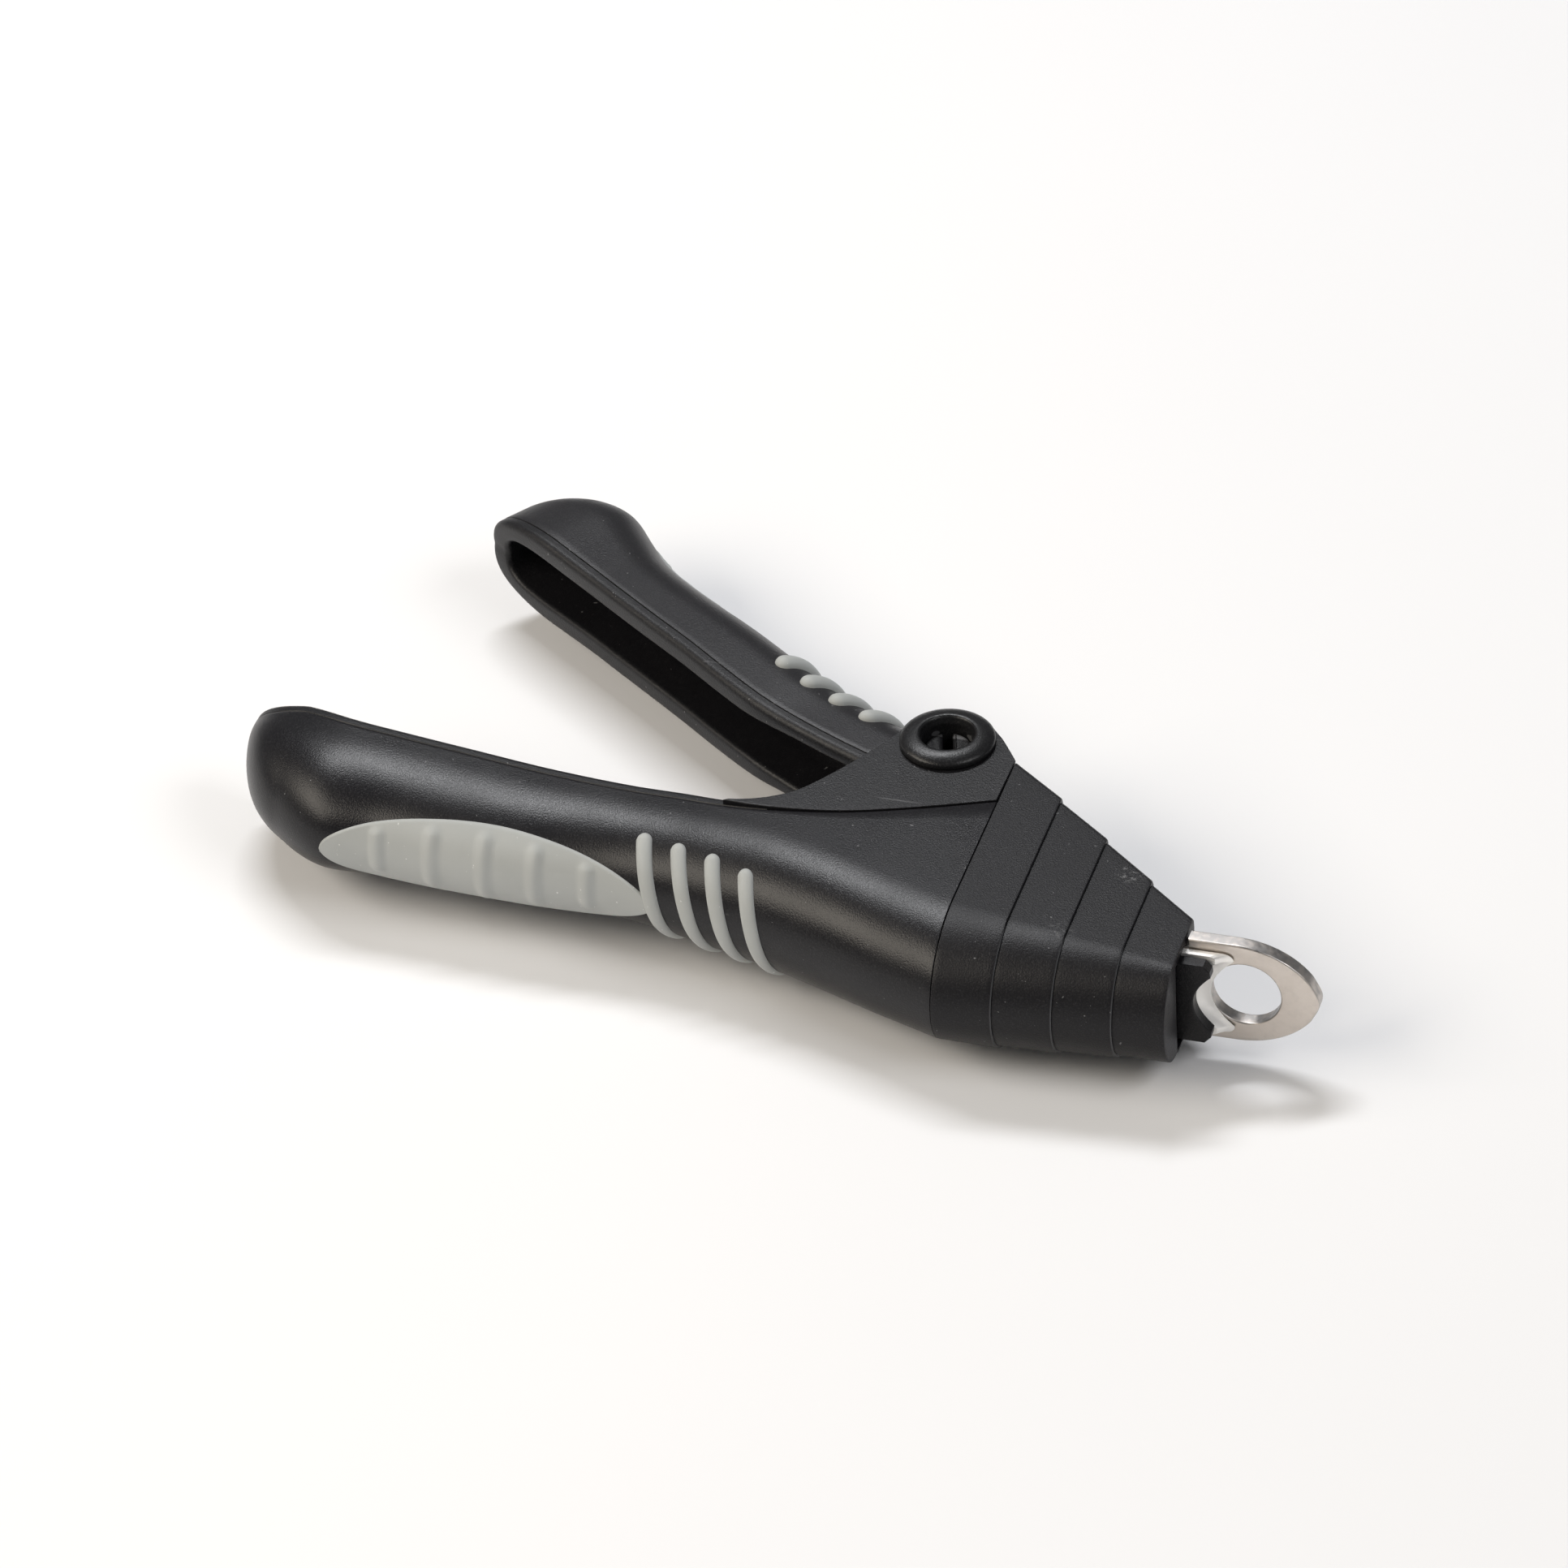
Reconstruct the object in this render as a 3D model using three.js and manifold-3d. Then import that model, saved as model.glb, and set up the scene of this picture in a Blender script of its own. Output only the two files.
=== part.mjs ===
// Guillotine pet nail trimmer: a fixed handle with a stepped nose and a steel ring, and a
// sprung lever whose arm pushes a blade across the ring. Millimetres, +Z up, tool on its side.
// The origin is on the pivot axis, at the flat face of the lower pivot head. +X runs with the
// blade's stroke towards the ring, and every piece is laid out about the mid-plane z = 0 of one
// group, which is then lifted by MID_Z.
import * as THREE from 'three';
import { mergeVertices } from 'three/addons/utils/BufferGeometryUtils.js';
import Module from 'manifold-3d';

const wasm = await Module();
wasm.setup();

// ---------------------------------------------------------------- driving dimensions
const GAP = 0.3; // between pieces that sit against each other
const MID_Z = 12.0; // mid-plane above the rest plane
const BODY_HALF = 10.15; // half-thickness of the body at the nose seam

const PIVOT = {
  barrelR: 4.15, boreR: 3.56, flangeR: 6.8, flangeTop: MID_Z, holeR: 4.35, barrelEnd: 9.7, pinTop: 9.6,
};
const PIN_SLOT = { width: 1.4, depth: 10.6, angle: 0.29 }; // cut that makes the pin's two snap prongs
const CHEEK = { inner: 7.5, outer: 10.25, lobeR: 7.2 };
const EAR = { inner: 3.95, outer: 7.0, r: 7.0 };

const NOSE = { seamX: 10.45, steps: [18.95, 27.35, 35.7, 43.2], flare: 0.35, wall: 1.2 };
const FRONT_WALL = 4.2; // depth of the nose's front wall round its mouth
const MOUTH = { near: -39.2, far: -30.8, half: 7.2 };
const GUIDE = { x0: 15.4, flange: 1.6, x1: 30.4, far: -27.9, near: -39.1, half: 6.6 };
const SLOT = { far: -31.1, near: -37.6, half: 5.1 }; // tunnel for tang, blade and carrier

const RING = { far: -31.4, thick: 2.3, holeX: 51.5, holeR: 5.0, half: 8.15, bowX: 50.0, tipX: 62.3 };
const RING_TANG = { x0: 17, neckX: 31, neckHalf: 6.8, shoulderX: 43.5 };
const BLADE = {
  far: -33.95, thick: 1.1, x0: 23, headX: 31.2, edgeX: 46.7, hornX: 50.0, half: 6.75, corner: 1.0,
};
const CARRIER = {
  far: -35.3, thick: 2.0, stemX: 4, headX: 31.2, half: 6.6, frontX: 47.5, notchX: 45.0, tailX: -6.0,
  tailHalf: 1.9,
};
const DRIVE = { radius: 36.0, restX: -2.5, endX: 9.33, pinR: 1.3, halfLength: 4.2 };
const YOKE = { length: 7.0, wall: 0.6, play: 0.06 }; // carrier's block round the drive pin's slot
const PRONG = { inner: 2.2, outer: 4.3, rootR: 3.4, endR: 2.1 }; // fork that holds the drive pin
const FIXED_POST = { x: -12.5, y: -14, r: 2 }; // carries the spring's fixed leg
const LEVER_POST = { x: -14.6, y: 1.7, r: 1.5, half: 4.0 }; // carries the spring's lever leg
const WEB = { outer: 5.6, tail: [-15.5, 4.7], tailR: 3.6, root: [-2.9, 1.1], rootR: 5.0 }; // ear to channel
const RING_SCREW = { xs: [20.5, 27], holeR: 1.6, shankR: 1.3, headR: 2.6, headHeight: 2 };
const BLADE_SCREW = { xs: [28, 34], holeR: 1.5, threadR: 1.4, sinkR: 2.5, headR: 2.2, shankR: 1.15 };
const SPRING = { meanR: 5.45, wireR: 0.7, pitch: 1.6, fullTurns: 3, leg: 14 };

const LEVER_ANGLE = -36 * Math.PI / 180; // lever axis from -X, handles open
const SHELL_WALL = { handle: 1.6, body: 1.2 };
const CORE_WALL = 1.5; // frame channel in the handles
const LEVER_LEG_ANGLE = 93 * Math.PI / 180; // where the spring's last leg leaves its coil
const RIM = { width: 2.0, inset: 0.15, corner: 1.0 }; // flanged lip of each frame channel

// Handle stations: x, rim y (open side), back y (outer side), half-thickness, depth of the
// rounded back.
const FIXED_STATIONS = [
  [-92, -11.8, -28.8, 9.4, 14], [-84, -14.15, -30.5, 9.4, 14], [-76, -14.7, -30.6, 9.0, 13.8],
  [-66, -15.8, -31.6, 8.6, 13.5], [-54, -17.3, -32.3, 8.3, 12.8], [-42, -18.6, -32.2, 8.4, 11.8],
  [-33, -19.5, -33.4, 8.95, 11.7], [-27, -20.3, -34.8, 9.45, 11.8], [-20, -20.4, -36.4, 9.9, 12],
  [-10, -19.0, -39.8, BODY_HALF, 12.4], [0, -15.8, -43.7, BODY_HALF, 12.6],
  [NOSE.seamX, -11.7, -47.4, BODY_HALF, 12.7],
];
const LEVER_STATIONS = [
  [-86, 9.8, -6.4, 7.3, 8.2], [-80, 9.8, -5.9, 7.3, 8.2], [-75, 9.8, -4.4, 7.2, 8],
  [-69, 9.8, -2.6, 7.1, 7.6], [-64, 9.9, -1.9, 7.1, 7.4], [-56, 10.0, -1.8, 7.1, 7.3],
  [-47, 10.1, -2.1, 7.2, 7.3], [-38, 10.4, -2.0, 7.2, 7.3], [-30, 10.4, -1.6, 7.1, 7.2],
  [-24, 9.8, -1.8, 6.9, 7], [-16, 8.7, -2.8, 6.9, 7], [-9, 7.4, -4.2, 6.9, 7],
];
// Bulb at each handle's end: where it ends, where it starts to round off, the y it closes on, and
// how sharply its rim turns in.
const FIXED_TIP = { x: -101.1, roundX: -83, midY: -8.2, rimPower: 1.3 };
const LEVER_TIP = { x: -94.3, roundX: -80, midY: 9.4, rimPower: 0.45 };
const BULB_SIDE_POWER = 0.7; // how sharply a bulb's flat sides turn in
const BLUNT = 0.95; // fills out the handles' round backs
const SHELL_OPEN = 20; // how far the hollows reach past the rims

const BLACK = { color: 0x17171a, roughness: 0.5, metalness: 0 };
const GLOSS_BLACK = { color: 0x121214, roughness: 0.28, metalness: 0 };
const GREY_RUBBER = { color: 0xa6a8a8, roughness: 0.6, metalness: 0 };
const STEEL = { color: 0xb9b2a8, roughness: 0.35, metalness: 1 };

const CHAMFER = 0.3; // part of a corner radius left at the middle point of a three-point corner
const FAR_OUT = 200; // past every part of the tool

// ---------------------------------------------------------------- solids and booleans
function signedVolume(points, tris) {
  return tris.reduce((sum, [a, b, c]) => {
    const [p, q, r] = [points[a], points[b], points[c]];
    return sum + p[0] * (q[1] * r[2] - q[2] * r[1]) - p[1] * (q[0] * r[2] - q[2] * r[0])
      + p[2] * (q[0] * r[1] - q[1] * r[0]);
  }, 0) / 6;
}

function solidFromPoints(points, tris) {
  const outward = signedVolume(points, tris) > 0 ? tris : tris.map(([a, b, c]) => [a, c, b]);
  return new wasm.Manifold(new wasm.Mesh({
    numProp: 3,
    vertProperties: new Float32Array(points.flat()),
    triVerts: new Uint32Array(outward.flat()),
  }));
}

function solidFromGeometry(source, matrix = new THREE.Matrix4()) {
  const bare = source.clone();
  bare.deleteAttribute('normal');
  bare.deleteAttribute('uv');
  const merged = mergeVertices(bare, 1e-4).applyMatrix4(matrix);
  const index = [...merged.index.array];
  const tris = [];
  for (let i = 0; i < index.length; i += 3) tris.push(index.slice(i, i + 3));
  const p = merged.getAttribute('position');
  const points = Array.from({ length: p.count }, (_, i) => [p.getX(i), p.getY(i), p.getZ(i)]);
  return solidFromPoints(points, tris);
}

function geometryFromSolid(solid) {
  const mesh = solid.getMesh();
  const geometry = new THREE.BufferGeometry();
  const xyz = new Float32Array(mesh.numVert * 3);
  for (let i = 0; i < mesh.numVert; i++) {
    for (let k = 0; k < 3; k++) xyz[3 * i + k] = mesh.vertProperties[mesh.numProp * i + k];
  }
  geometry.setAttribute('position', new THREE.BufferAttribute(xyz, 3));
  geometry.setIndex([...mesh.triVerts]);
  geometry.computeVertexNormals();
  return geometry;
}

// Skin through sections that all have the same number of points, closed by a fan at each end.
function loft(sections) {
  const n = sections[0].length;
  const points = sections.flat();
  const tris = [];
  for (let s = 0; s + 1 < sections.length; s++) {
    for (let i = 0; i < n; i++) {
      const [a, b] = [s * n + i, s * n + (i + 1) % n];
      tris.push([a, b, b + n], [a, b + n, a + n]);
    }
  }
  for (const [section, flip] of [[0, true], [sections.length - 1, false]]) {
    const centre = [0, 1, 2].map((k) => sections[section].reduce((t, p) => t + p[k], 0) / n);
    const hub = points.push(centre) - 1;
    for (let i = 0; i < n; i++) {
      const [a, b] = [section * n + i, section * n + (i + 1) % n];
      tris.push(flip ? [hub, b, a] : [hub, a, b]);
    }
  }
  return solidFromPoints(points, tris);
}

const box = (x0, x1, y0, y1, z0, z1) => solidFromGeometry(
  new THREE.BoxGeometry(x1 - x0, y1 - y0, z1 - z0),
  new THREE.Matrix4().makeTranslation((x0 + x1) / 2, (y0 + y1) / 2, (z0 + z1) / 2),
);

// Cylinder along Z between z0 and z1.
const cylinderZ = (x, y, r, z0, z1, sides = 24) => solidFromGeometry(
  new THREE.CylinderGeometry(r, r, z1 - z0, sides).rotateX(Math.PI / 2),
  new THREE.Matrix4().makeTranslation(x, y, (z0 + z1) / 2),
);

// Cylinder along Y between y0 and y1.
const cylinderY = (x, z, r, y0, y1, sides = 16) => solidFromGeometry(
  new THREE.CylinderGeometry(r, r, y1 - y0, sides),
  new THREE.Matrix4().makeTranslation(x, (y0 + y1) / 2, z),
);

// Plan outline (x, y) extruded between z0 and z1.
function plate(shape, z0, z1, curveSegments = 8) {
  const geometry = new THREE.ExtrudeGeometry(shape, { depth: z1 - z0, bevelEnabled: false, curveSegments });
  return solidFromGeometry(geometry, new THREE.Matrix4().makeTranslation(0, 0, z0));
}

// Side outline (x, z) extruded from y = far towards -Y by thick.
function upright(shape, far, thick, curveSegments = 8) {
  const geometry = new THREE.ExtrudeGeometry(shape, { depth: thick, bevelEnabled: false, curveSegments });
  const stand = new THREE.Matrix4().makeRotationX(Math.PI / 2);
  return solidFromGeometry(geometry, stand.setPosition(0, far, 0));
}

const polygon = (points) => new THREE.Shape(points.map(([x, y]) => new THREE.Vector2(x, y)));

// ---------------------------------------------------------------- handle sections
// Smooth interpolation of one column of a station table.
function stationValue(table, column, x) {
  if (x <= table[0][0]) return table[0][column];
  const last = table.length - 1;
  if (x >= table[last][0]) return table[last][column];
  const i = table.findIndex((row, k) => k < last && x < table[k + 1][0]);
  const [x0, x1] = [table[i][0], table[i + 1][0]];
  const slope = (k) => {
    const [a, b] = [Math.max(k - 1, 0), Math.min(k + 1, last)];
    return (table[b][column] - table[a][column]) / (table[b][0] - table[a][0]);
  };
  const t = (x - x0) / (x1 - x0);
  const [t2, t3] = [t * t, t * t * t];
  return (2 * t3 - 3 * t2 + 1) * table[i][column] + (t3 - 2 * t2 + t) * (x1 - x0) * slope(i)
    + (3 * t2 - 2 * t3) * table[i + 1][column] + (t3 - t2) * (x1 - x0) * slope(i + 1);
}

// Rim, back and half-thickness at x, closed round the bulb at the tip; inset shrinks it.
function handleAt(stations, tip, x, inset) {
  const column = (k) => stationValue(stations, k, x);
  const reach = tip.roundX - tip.x - inset;
  const along = Math.min(1, Math.max(0, (tip.roundX - x) / reach));
  const close = Math.sqrt(Math.max(0, 1 - along * along));
  const back = column(2) + inset;
  return {
    rim: tip.midY + (column(1) - tip.midY) * close ** tip.rimPower,
    back: tip.midY + (back - tip.midY) * close,
    half: (column(3) - inset) * close ** BULB_SIDE_POWER,
    round: (column(4) - inset) * close,
  };
}

// Stations along x: cosine-spaced round the bulb, then even.
function stationXs(tip, inset, x1, count) {
  const reach = tip.roundX - tip.x - inset;
  const bulb = [0.995, 0.93, 0.8, 0.6, 0.32].map((t) => tip.roundX - reach * t);
  const even = Array.from({ length: count + 1 }, (_, i) => tip.roundX + (x1 - tip.roundX) * i / count);
  return [...bulb, ...even];
}

const blunted = (value) => Math.sign(value) * Math.abs(value) ** BLUNT;

// Round-backed section from the back (low y) to openY, as (y, z) points.
function roundBackSection({ openY, back, half, round }, arcSteps = 12) {
  const points = [];
  for (let i = 0; i <= arcSteps; i++) {
    const a = Math.PI * (i / arcSteps - 0.5);
    points.push([back + round * (1 - blunted(Math.cos(a))), half * blunted(Math.sin(a))]);
  }
  points.push([openY, half], [openY, 0], [openY, -half]);
  return points;
}

// Maps a handle's own x, y to the tool's: the lever is the mirrored handle, turned open.
const placeFixed = ([x, y, z]) => [x, y, z];
const placeLever = ([x, y, z]) => [
  x * Math.cos(LEVER_ANGLE) + y * Math.sin(LEVER_ANGLE),
  x * Math.sin(LEVER_ANGLE) - y * Math.cos(LEVER_ANGLE), z,
];

// inlayTop is the highest y that the soft inlays reach on each handle's sides.
const FIXED = {
  stations: FIXED_STATIONS, tip: FIXED_TIP, place: placeFixed, endX: NOSE.seamX, inlayTop: -26.5,
};
const LEVER = { stations: LEVER_STATIONS, tip: LEVER_TIP, place: placeLever, endX: -9, inlayTop: 3.2 };

// Solid handle form, shrunk by inset(x), from its tip to endX and open at openY(rim).
function handleForm(handle, { inset, openY = (rim) => rim, endX = handle.endX, count = 13 }) {
  const tipInset = inset(handle.tip.x);
  const sections = stationXs(handle.tip, tipInset, endX, count).map((x) => {
    const tipPart = x < handle.tip.roundX ? tipInset : inset(x);
    const at = handleAt(handle.stations, handle.tip, x, tipPart);
    return roundBackSection({ ...at, openY: openY(at.rim) }).map(([y, z]) => handle.place([x, y, z]));
  });
  return loft(sections);
}

const blendX = (x, x0, x1, v0, v1) => {
  const t = Math.min(1, Math.max(0, (x - x0) / (x1 - x0)));
  return v0 + (v1 - v0) * t * t * (3 - 2 * t);
};
const fixedWall = (x) => blendX(x, -40, -26, SHELL_WALL.handle, SHELL_WALL.body);
const leverWall = (x) => blendX(x, -34, -20, SHELL_WALL.handle, SHELL_WALL.body);

// Frame channel's flanged lip: flush with the shell, rounded towards the open side.
function rimLip(handle, endX, count) {
  const sections = stationXs(handle.tip, RIM.inset, endX, count).map((x) => {
    const { rim } = handleAt(handle.stations, handle.tip, x, 0);
    const { half } = handleAt(handle.stations, handle.tip, x, RIM.inset);
    const [low, high, r] = [rim + GAP, rim + RIM.width, Math.min(RIM.corner, half * 0.3)];
    const cut = CHAMFER * r;
    const corner = [[low, half], [high - r, half], [high - cut, half - cut], [high, half - r]];
    const lower = corner.map(([y, z]) => [y, -z]).reverse();
    return [...corner, ...lower].map(([y, z]) => handle.place([x, y, z]));
  });
  return loft(sections);
}

// ---------------------------------------------------------------- inlays on the handles
// A soft piece let into the back of a handle: depth below the surface, proud above it.
function inlay(handle, outline, proud, depth) {
  const local = { ...handle, place: placeFixed };
  const prism = upright(outline, handle.inlayTop, FAR_OUT);
  const outer = handleForm(local, { inset: () => -proud });
  const inner = handleForm(local, { inset: () => depth, openY: (rim) => rim + SHELL_OPEN });
  return place(handle, outer.intersect(prism).subtract(inner));
}

// Matching pocket in the shell, larger by GAP all round.
function inlayPocket(handle, outline, depth) {
  const local = { ...handle, place: placeFixed };
  const prism = upright(outline, handle.inlayTop, FAR_OUT);
  const inner = handleForm(local, { inset: () => depth + GAP, openY: (rim) => rim + SHELL_OPEN });
  return place(handle, prism.subtract(inner));
}

// Moves a solid made in a handle's own x, y to the tool's place.
function place(handle, solid) {
  if (handle.place === placeFixed) return solid;
  return solid.mirror([0, 1, 0]).rotate([0, 0, LEVER_ANGLE * 180 / Math.PI]);
}

// Leaf outline (x, z) between two tips, and its slightly larger pocket.
function leafOutline({ x0, x1, half }, grow = 0) {
  const steps = 14;
  const side = (sign) => Array.from({ length: steps }, (_, i) => {
    const t = -Math.cos(Math.PI * i / steps);
    const x = (x0 + x1) / 2 + t * ((x1 - x0) / 2 + grow);
    return [sign > 0 ? x : x0 + x1 - x, sign * (half + grow) * (1 - t * t) ** 0.6];
  });
  return polygon([...side(1), ...side(-1)]);
}

// Leaning bar outline with round ends: top at (x, zTop), foot shifted by lean.
function barOutline({ x, zTop, zFoot, lean, width }, grow = 0) {
  const r = width / 2 + grow;
  const angle = Math.atan2(zTop - zFoot, -lean);
  const points = [];
  for (const [cx, cz, from] of [[x, zTop, -90], [x + lean, zFoot, 90]]) {
    for (let i = 0; i <= 4; i++) {
      const a = angle + (from + i * 45) * Math.PI / 180;
      points.push([cx + r * Math.cos(a), cz + r * Math.sin(a)]);
    }
  }
  return polygon(points);
}

const PAD = { proud: 0.35, depth: 0.9 };
const RIDGE = { proud: 0.7, depth: 0.7, width: 2.3, pitch: 5.3, count: 4 };
const FIXED_PAD = { x0: -83.8, x1: -35.9, half: 6.8 };
const LEVER_PAD = { x0: -77, x1: -37, half: 3.8 };
const FIXED_RIDGE = { ...RIDGE, x: -36.2, zTop: 7.0, zFoot: -6.9, lean: 5.0 };
const LEVER_RIDGE = { ...RIDGE, x: -33.6, zTop: 6.4, zFoot: -6.4, lean: 4.6, width: 2.8, pitch: 6.1 };

const ridgeAt = (first, i) => ({ ...first, x: first.x + i * first.pitch });

function pocketsOf(handle, pad, firstRidge) {
  const pockets = [inlayPocket(handle, leafOutline(pad, GAP), PAD.depth)];
  for (let i = 0; i < RIDGE.count; i++) {
    pockets.push(inlayPocket(handle, barOutline(ridgeAt(firstRidge, i), GAP), RIDGE.depth));
  }
  return pockets;
}

// ---------------------------------------------------------------- fixed side
// Seam between shell and cheek plate, then the cheek's concave edge and lobe.
function cheekShape() {
  const shape = new THREE.Shape();
  const seam = (x) => stationValue(FIXED_STATIONS, 1, x) + GAP;
  shape.moveTo(-27, seam(-27));
  for (let x = -24; x <= 6; x += 3) shape.lineTo(x, seam(x));
  shape.lineTo(NOSE.seamX - 0.15, seam(NOSE.seamX));
  shape.lineTo(NOSE.seamX - 0.15, -2.3);
  shape.lineTo(7.7, 1.8);
  shape.absarc(0, 0, CHEEK.lobeR, 0.64, Math.PI - 0.3, false);
  shape.bezierCurveTo(-8.2, -1.2, -12.6, -9.4, -17.0, -14.9);
  shape.bezierCurveTo(-19.6, -17.6, -23.2, -19.2, -27, -19.7);
  return shape;
}

function buildFixedFrame() {
  const shellInset = (x) => fixedWall(x) + GAP;
  const core = handleForm(FIXED, {
    inset: shellInset, openY: (rim) => rim + RIM.width - 0.4, endX: 14.8, count: 15,
  });
  const hollow = handleForm(FIXED, {
    inset: (x) => shellInset(x) + blendX(x, -36, -22, CORE_WALL, 0.85),
    openY: () => SHELL_OPEN, endX: 20, count: 15,
  });
  const spigot = loft([NOSE.seamX - 0.2, 14.9].map((x) => noseSection(x, -NOSE.wall - GAP)));
  const limit = box(-FAR_OUT, NOSE.seamX - 0.1, -FAR_OUT, FAR_OUT, -FAR_OUT, FAR_OUT).add(spigot);
  const lip = rimLip(FIXED, -26.5, 10);
  const cheeks = [1, -1].map((side) => {
    const [z0, z1] = [CHEEK.inner, CHEEK.outer].map((z) => side * z).sort((a, b) => a - b);
    return plate(cheekShape(), z0, z1, 6);
  });
  const { x, y, r } = FIXED_POST;
  const post = cylinderZ(x, y, r, -CHEEK.inner - 0.5, CHEEK.inner + 0.5, 12);
  const bore = cylinderZ(0, 0, PIVOT.holeR, -FAR_OUT, FAR_OUT);
  return core.intersect(limit).add(lip).subtract(hollow).add(cheeks[0]).add(cheeks[1]).add(post)
    .subtract(bore);
}

function buildFixedShell() {
  const outer = handleForm(FIXED, { inset: () => 0, endX: NOSE.seamX - 0.15, count: 15 });
  const hollow = handleForm(FIXED, {
    inset: fixedWall, openY: (rim) => rim + SHELL_OPEN, endX: 20, count: 15,
  });
  const pockets = pocketsOf(FIXED, FIXED_PAD, FIXED_RIDGE);
  return pockets.reduce((shell, pocket) => shell.subtract(pocket), outer.subtract(hollow));
}

// ---------------------------------------------------------------- nose
// Section of the nose at x: straight far side with small corners, round near side.
const NOSE_STATIONS = [
  [NOSE.seamX, -2.0, -47.7, BODY_HALF, 12.7], [18.95, -8.4, -47.2, 9.7, 10.9],
  [27.35, -15.4, -46.6, 9.2, 9.15], [35.7, -22.6, -45.95, 8.65, 7.4], [43.2, -29.2, -45.5, 8.2, 5.65],
];

function noseSection(x, grow, arcSteps = 12) {
  const last = NOSE_STATIONS.length - 2;
  const i = Math.min(last, Math.max(0, NOSE_STATIONS.findIndex((row) => x <= row[0]) - 1));
  const [from, to] = [NOSE_STATIONS[i], NOSE_STATIONS[i + 1]];
  const t = (x - from[0]) / (to[0] - from[0]);
  const [far, near, half, depth] = [1, 2, 3, 4].map((k) => from[k] + t * (to[k] - from[k]));
  const [top, back, round, r] = [far + grow, near - grow, depth + grow, 1.3];
  const points = [];
  for (let i = 0; i <= arcSteps; i++) {
    const a = Math.PI * (i / arcSteps - 0.5);
    points.push([x, back + round * (1 - Math.cos(a)), (half + grow) * Math.sin(a)]);
  }
  const h = half + grow;
  points.push([x, top - r, h], [x, top - CHAMFER * r, h - CHAMFER * r], [x, top, h - r]);
  points.push([x, top, r - h], [x, top - CHAMFER * r, CHAMFER * r - h], [x, top - r, -h]);
  return points;
}

function buildNoseCap() {
  const lip = 0.35; // length of each step's sloping front
  const edges = [NOSE.seamX + 0.15, ...NOSE.steps];
  const sections = [];
  for (let i = 0; i + 1 < edges.length; i++) {
    const last = i + 2 === edges.length;
    sections.push(noseSection(edges[i] + (i ? lip : 0), 0));
    sections.push(noseSection(edges[i + 1] - (last ? 0 : lip), NOSE.flare));
    if (!last) sections.push(noseSection(edges[i + 1], NOSE.flare * 0.8));
  }
  const frontX = NOSE.steps[3];
  const cavityXs = [NOSE.seamX - 1, ...NOSE.steps.slice(0, 3), frontX - FRONT_WALL];
  const cavity = loft(cavityXs.map((x) => noseSection(x, -NOSE.wall)));
  const opening = box(frontX - 10, frontX + 5, MOUTH.near, MOUTH.far, -MOUTH.half, MOUTH.half);
  return loft(sections).subtract(cavity).subtract(opening);
}

function buildGuideBlock() {
  const { x0, flange, x1, far, near, half } = GUIDE;
  const bulkhead = loft([noseSection(x0, -NOSE.wall - GAP), noseSection(x0 + flange, -NOSE.wall - GAP)]);
  const block = box(x0, x1, near, far, -half, half);
  const tunnel = box(x0 - 5, x1 + 5, SLOT.near, SLOT.far, -SLOT.half, SLOT.half);
  const holes = RING_SCREW.xs.map((x) => cylinderY(x, 0, RING_SCREW.holeR, SLOT.near, FAR_OUT));
  return holes.reduce((solid, hole) => solid.subtract(hole), bulkhead.add(block).subtract(tunnel));
}

function buildRing() {
  const { x0, neckX, neckHalf, shoulderX } = RING_TANG;
  const tang = SLOT.half - GAP;
  const shape = new THREE.Shape();
  shape.moveTo(x0, -tang);
  shape.lineTo(neckX, -tang);
  shape.lineTo(neckX, -neckHalf);
  shape.lineTo(shoulderX, -neckHalf);
  shape.lineTo(shoulderX, -RING.half);
  shape.lineTo(RING.bowX, -RING.half);
  shape.bezierCurveTo(56.2, -RING.half, 60.9, -4.6, RING.tipX, 0);
  shape.bezierCurveTo(60.9, 4.6, 56.2, RING.half, RING.bowX, RING.half);
  shape.lineTo(shoulderX, RING.half);
  shape.lineTo(shoulderX, neckHalf);
  shape.lineTo(neckX, neckHalf);
  shape.lineTo(neckX, tang);
  shape.lineTo(x0, tang);
  const hole = new THREE.Path();
  hole.absarc(RING.holeX, 0, RING.holeR, 0, 2 * Math.PI, true);
  shape.holes.push(hole);
  const screwHoles = RING_SCREW.xs.map((x) => cylinderY(x, 0, RING_SCREW.holeR, -FAR_OUT, FAR_OUT));
  return screwHoles.reduce((solid, cut) => solid.subtract(cut), upright(shape, RING.far, RING.thick, 14));
}

function buildRingScrew(x) {
  const { headR, headHeight, shankR } = RING_SCREW;
  const headFace = GUIDE.far + GAP;
  const head = cylinderY(x, 0, headR, headFace, headFace + headHeight);
  const shank = cylinderY(x, 0, shankR, RING.far - RING.thick + 0.2, headFace + 0.5);
  const recess = cylinderY(x, 0, headR / 2, headFace + headHeight / 2, headFace + headHeight + 1, 6);
  return head.add(shank).subtract(recess);
}

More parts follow.
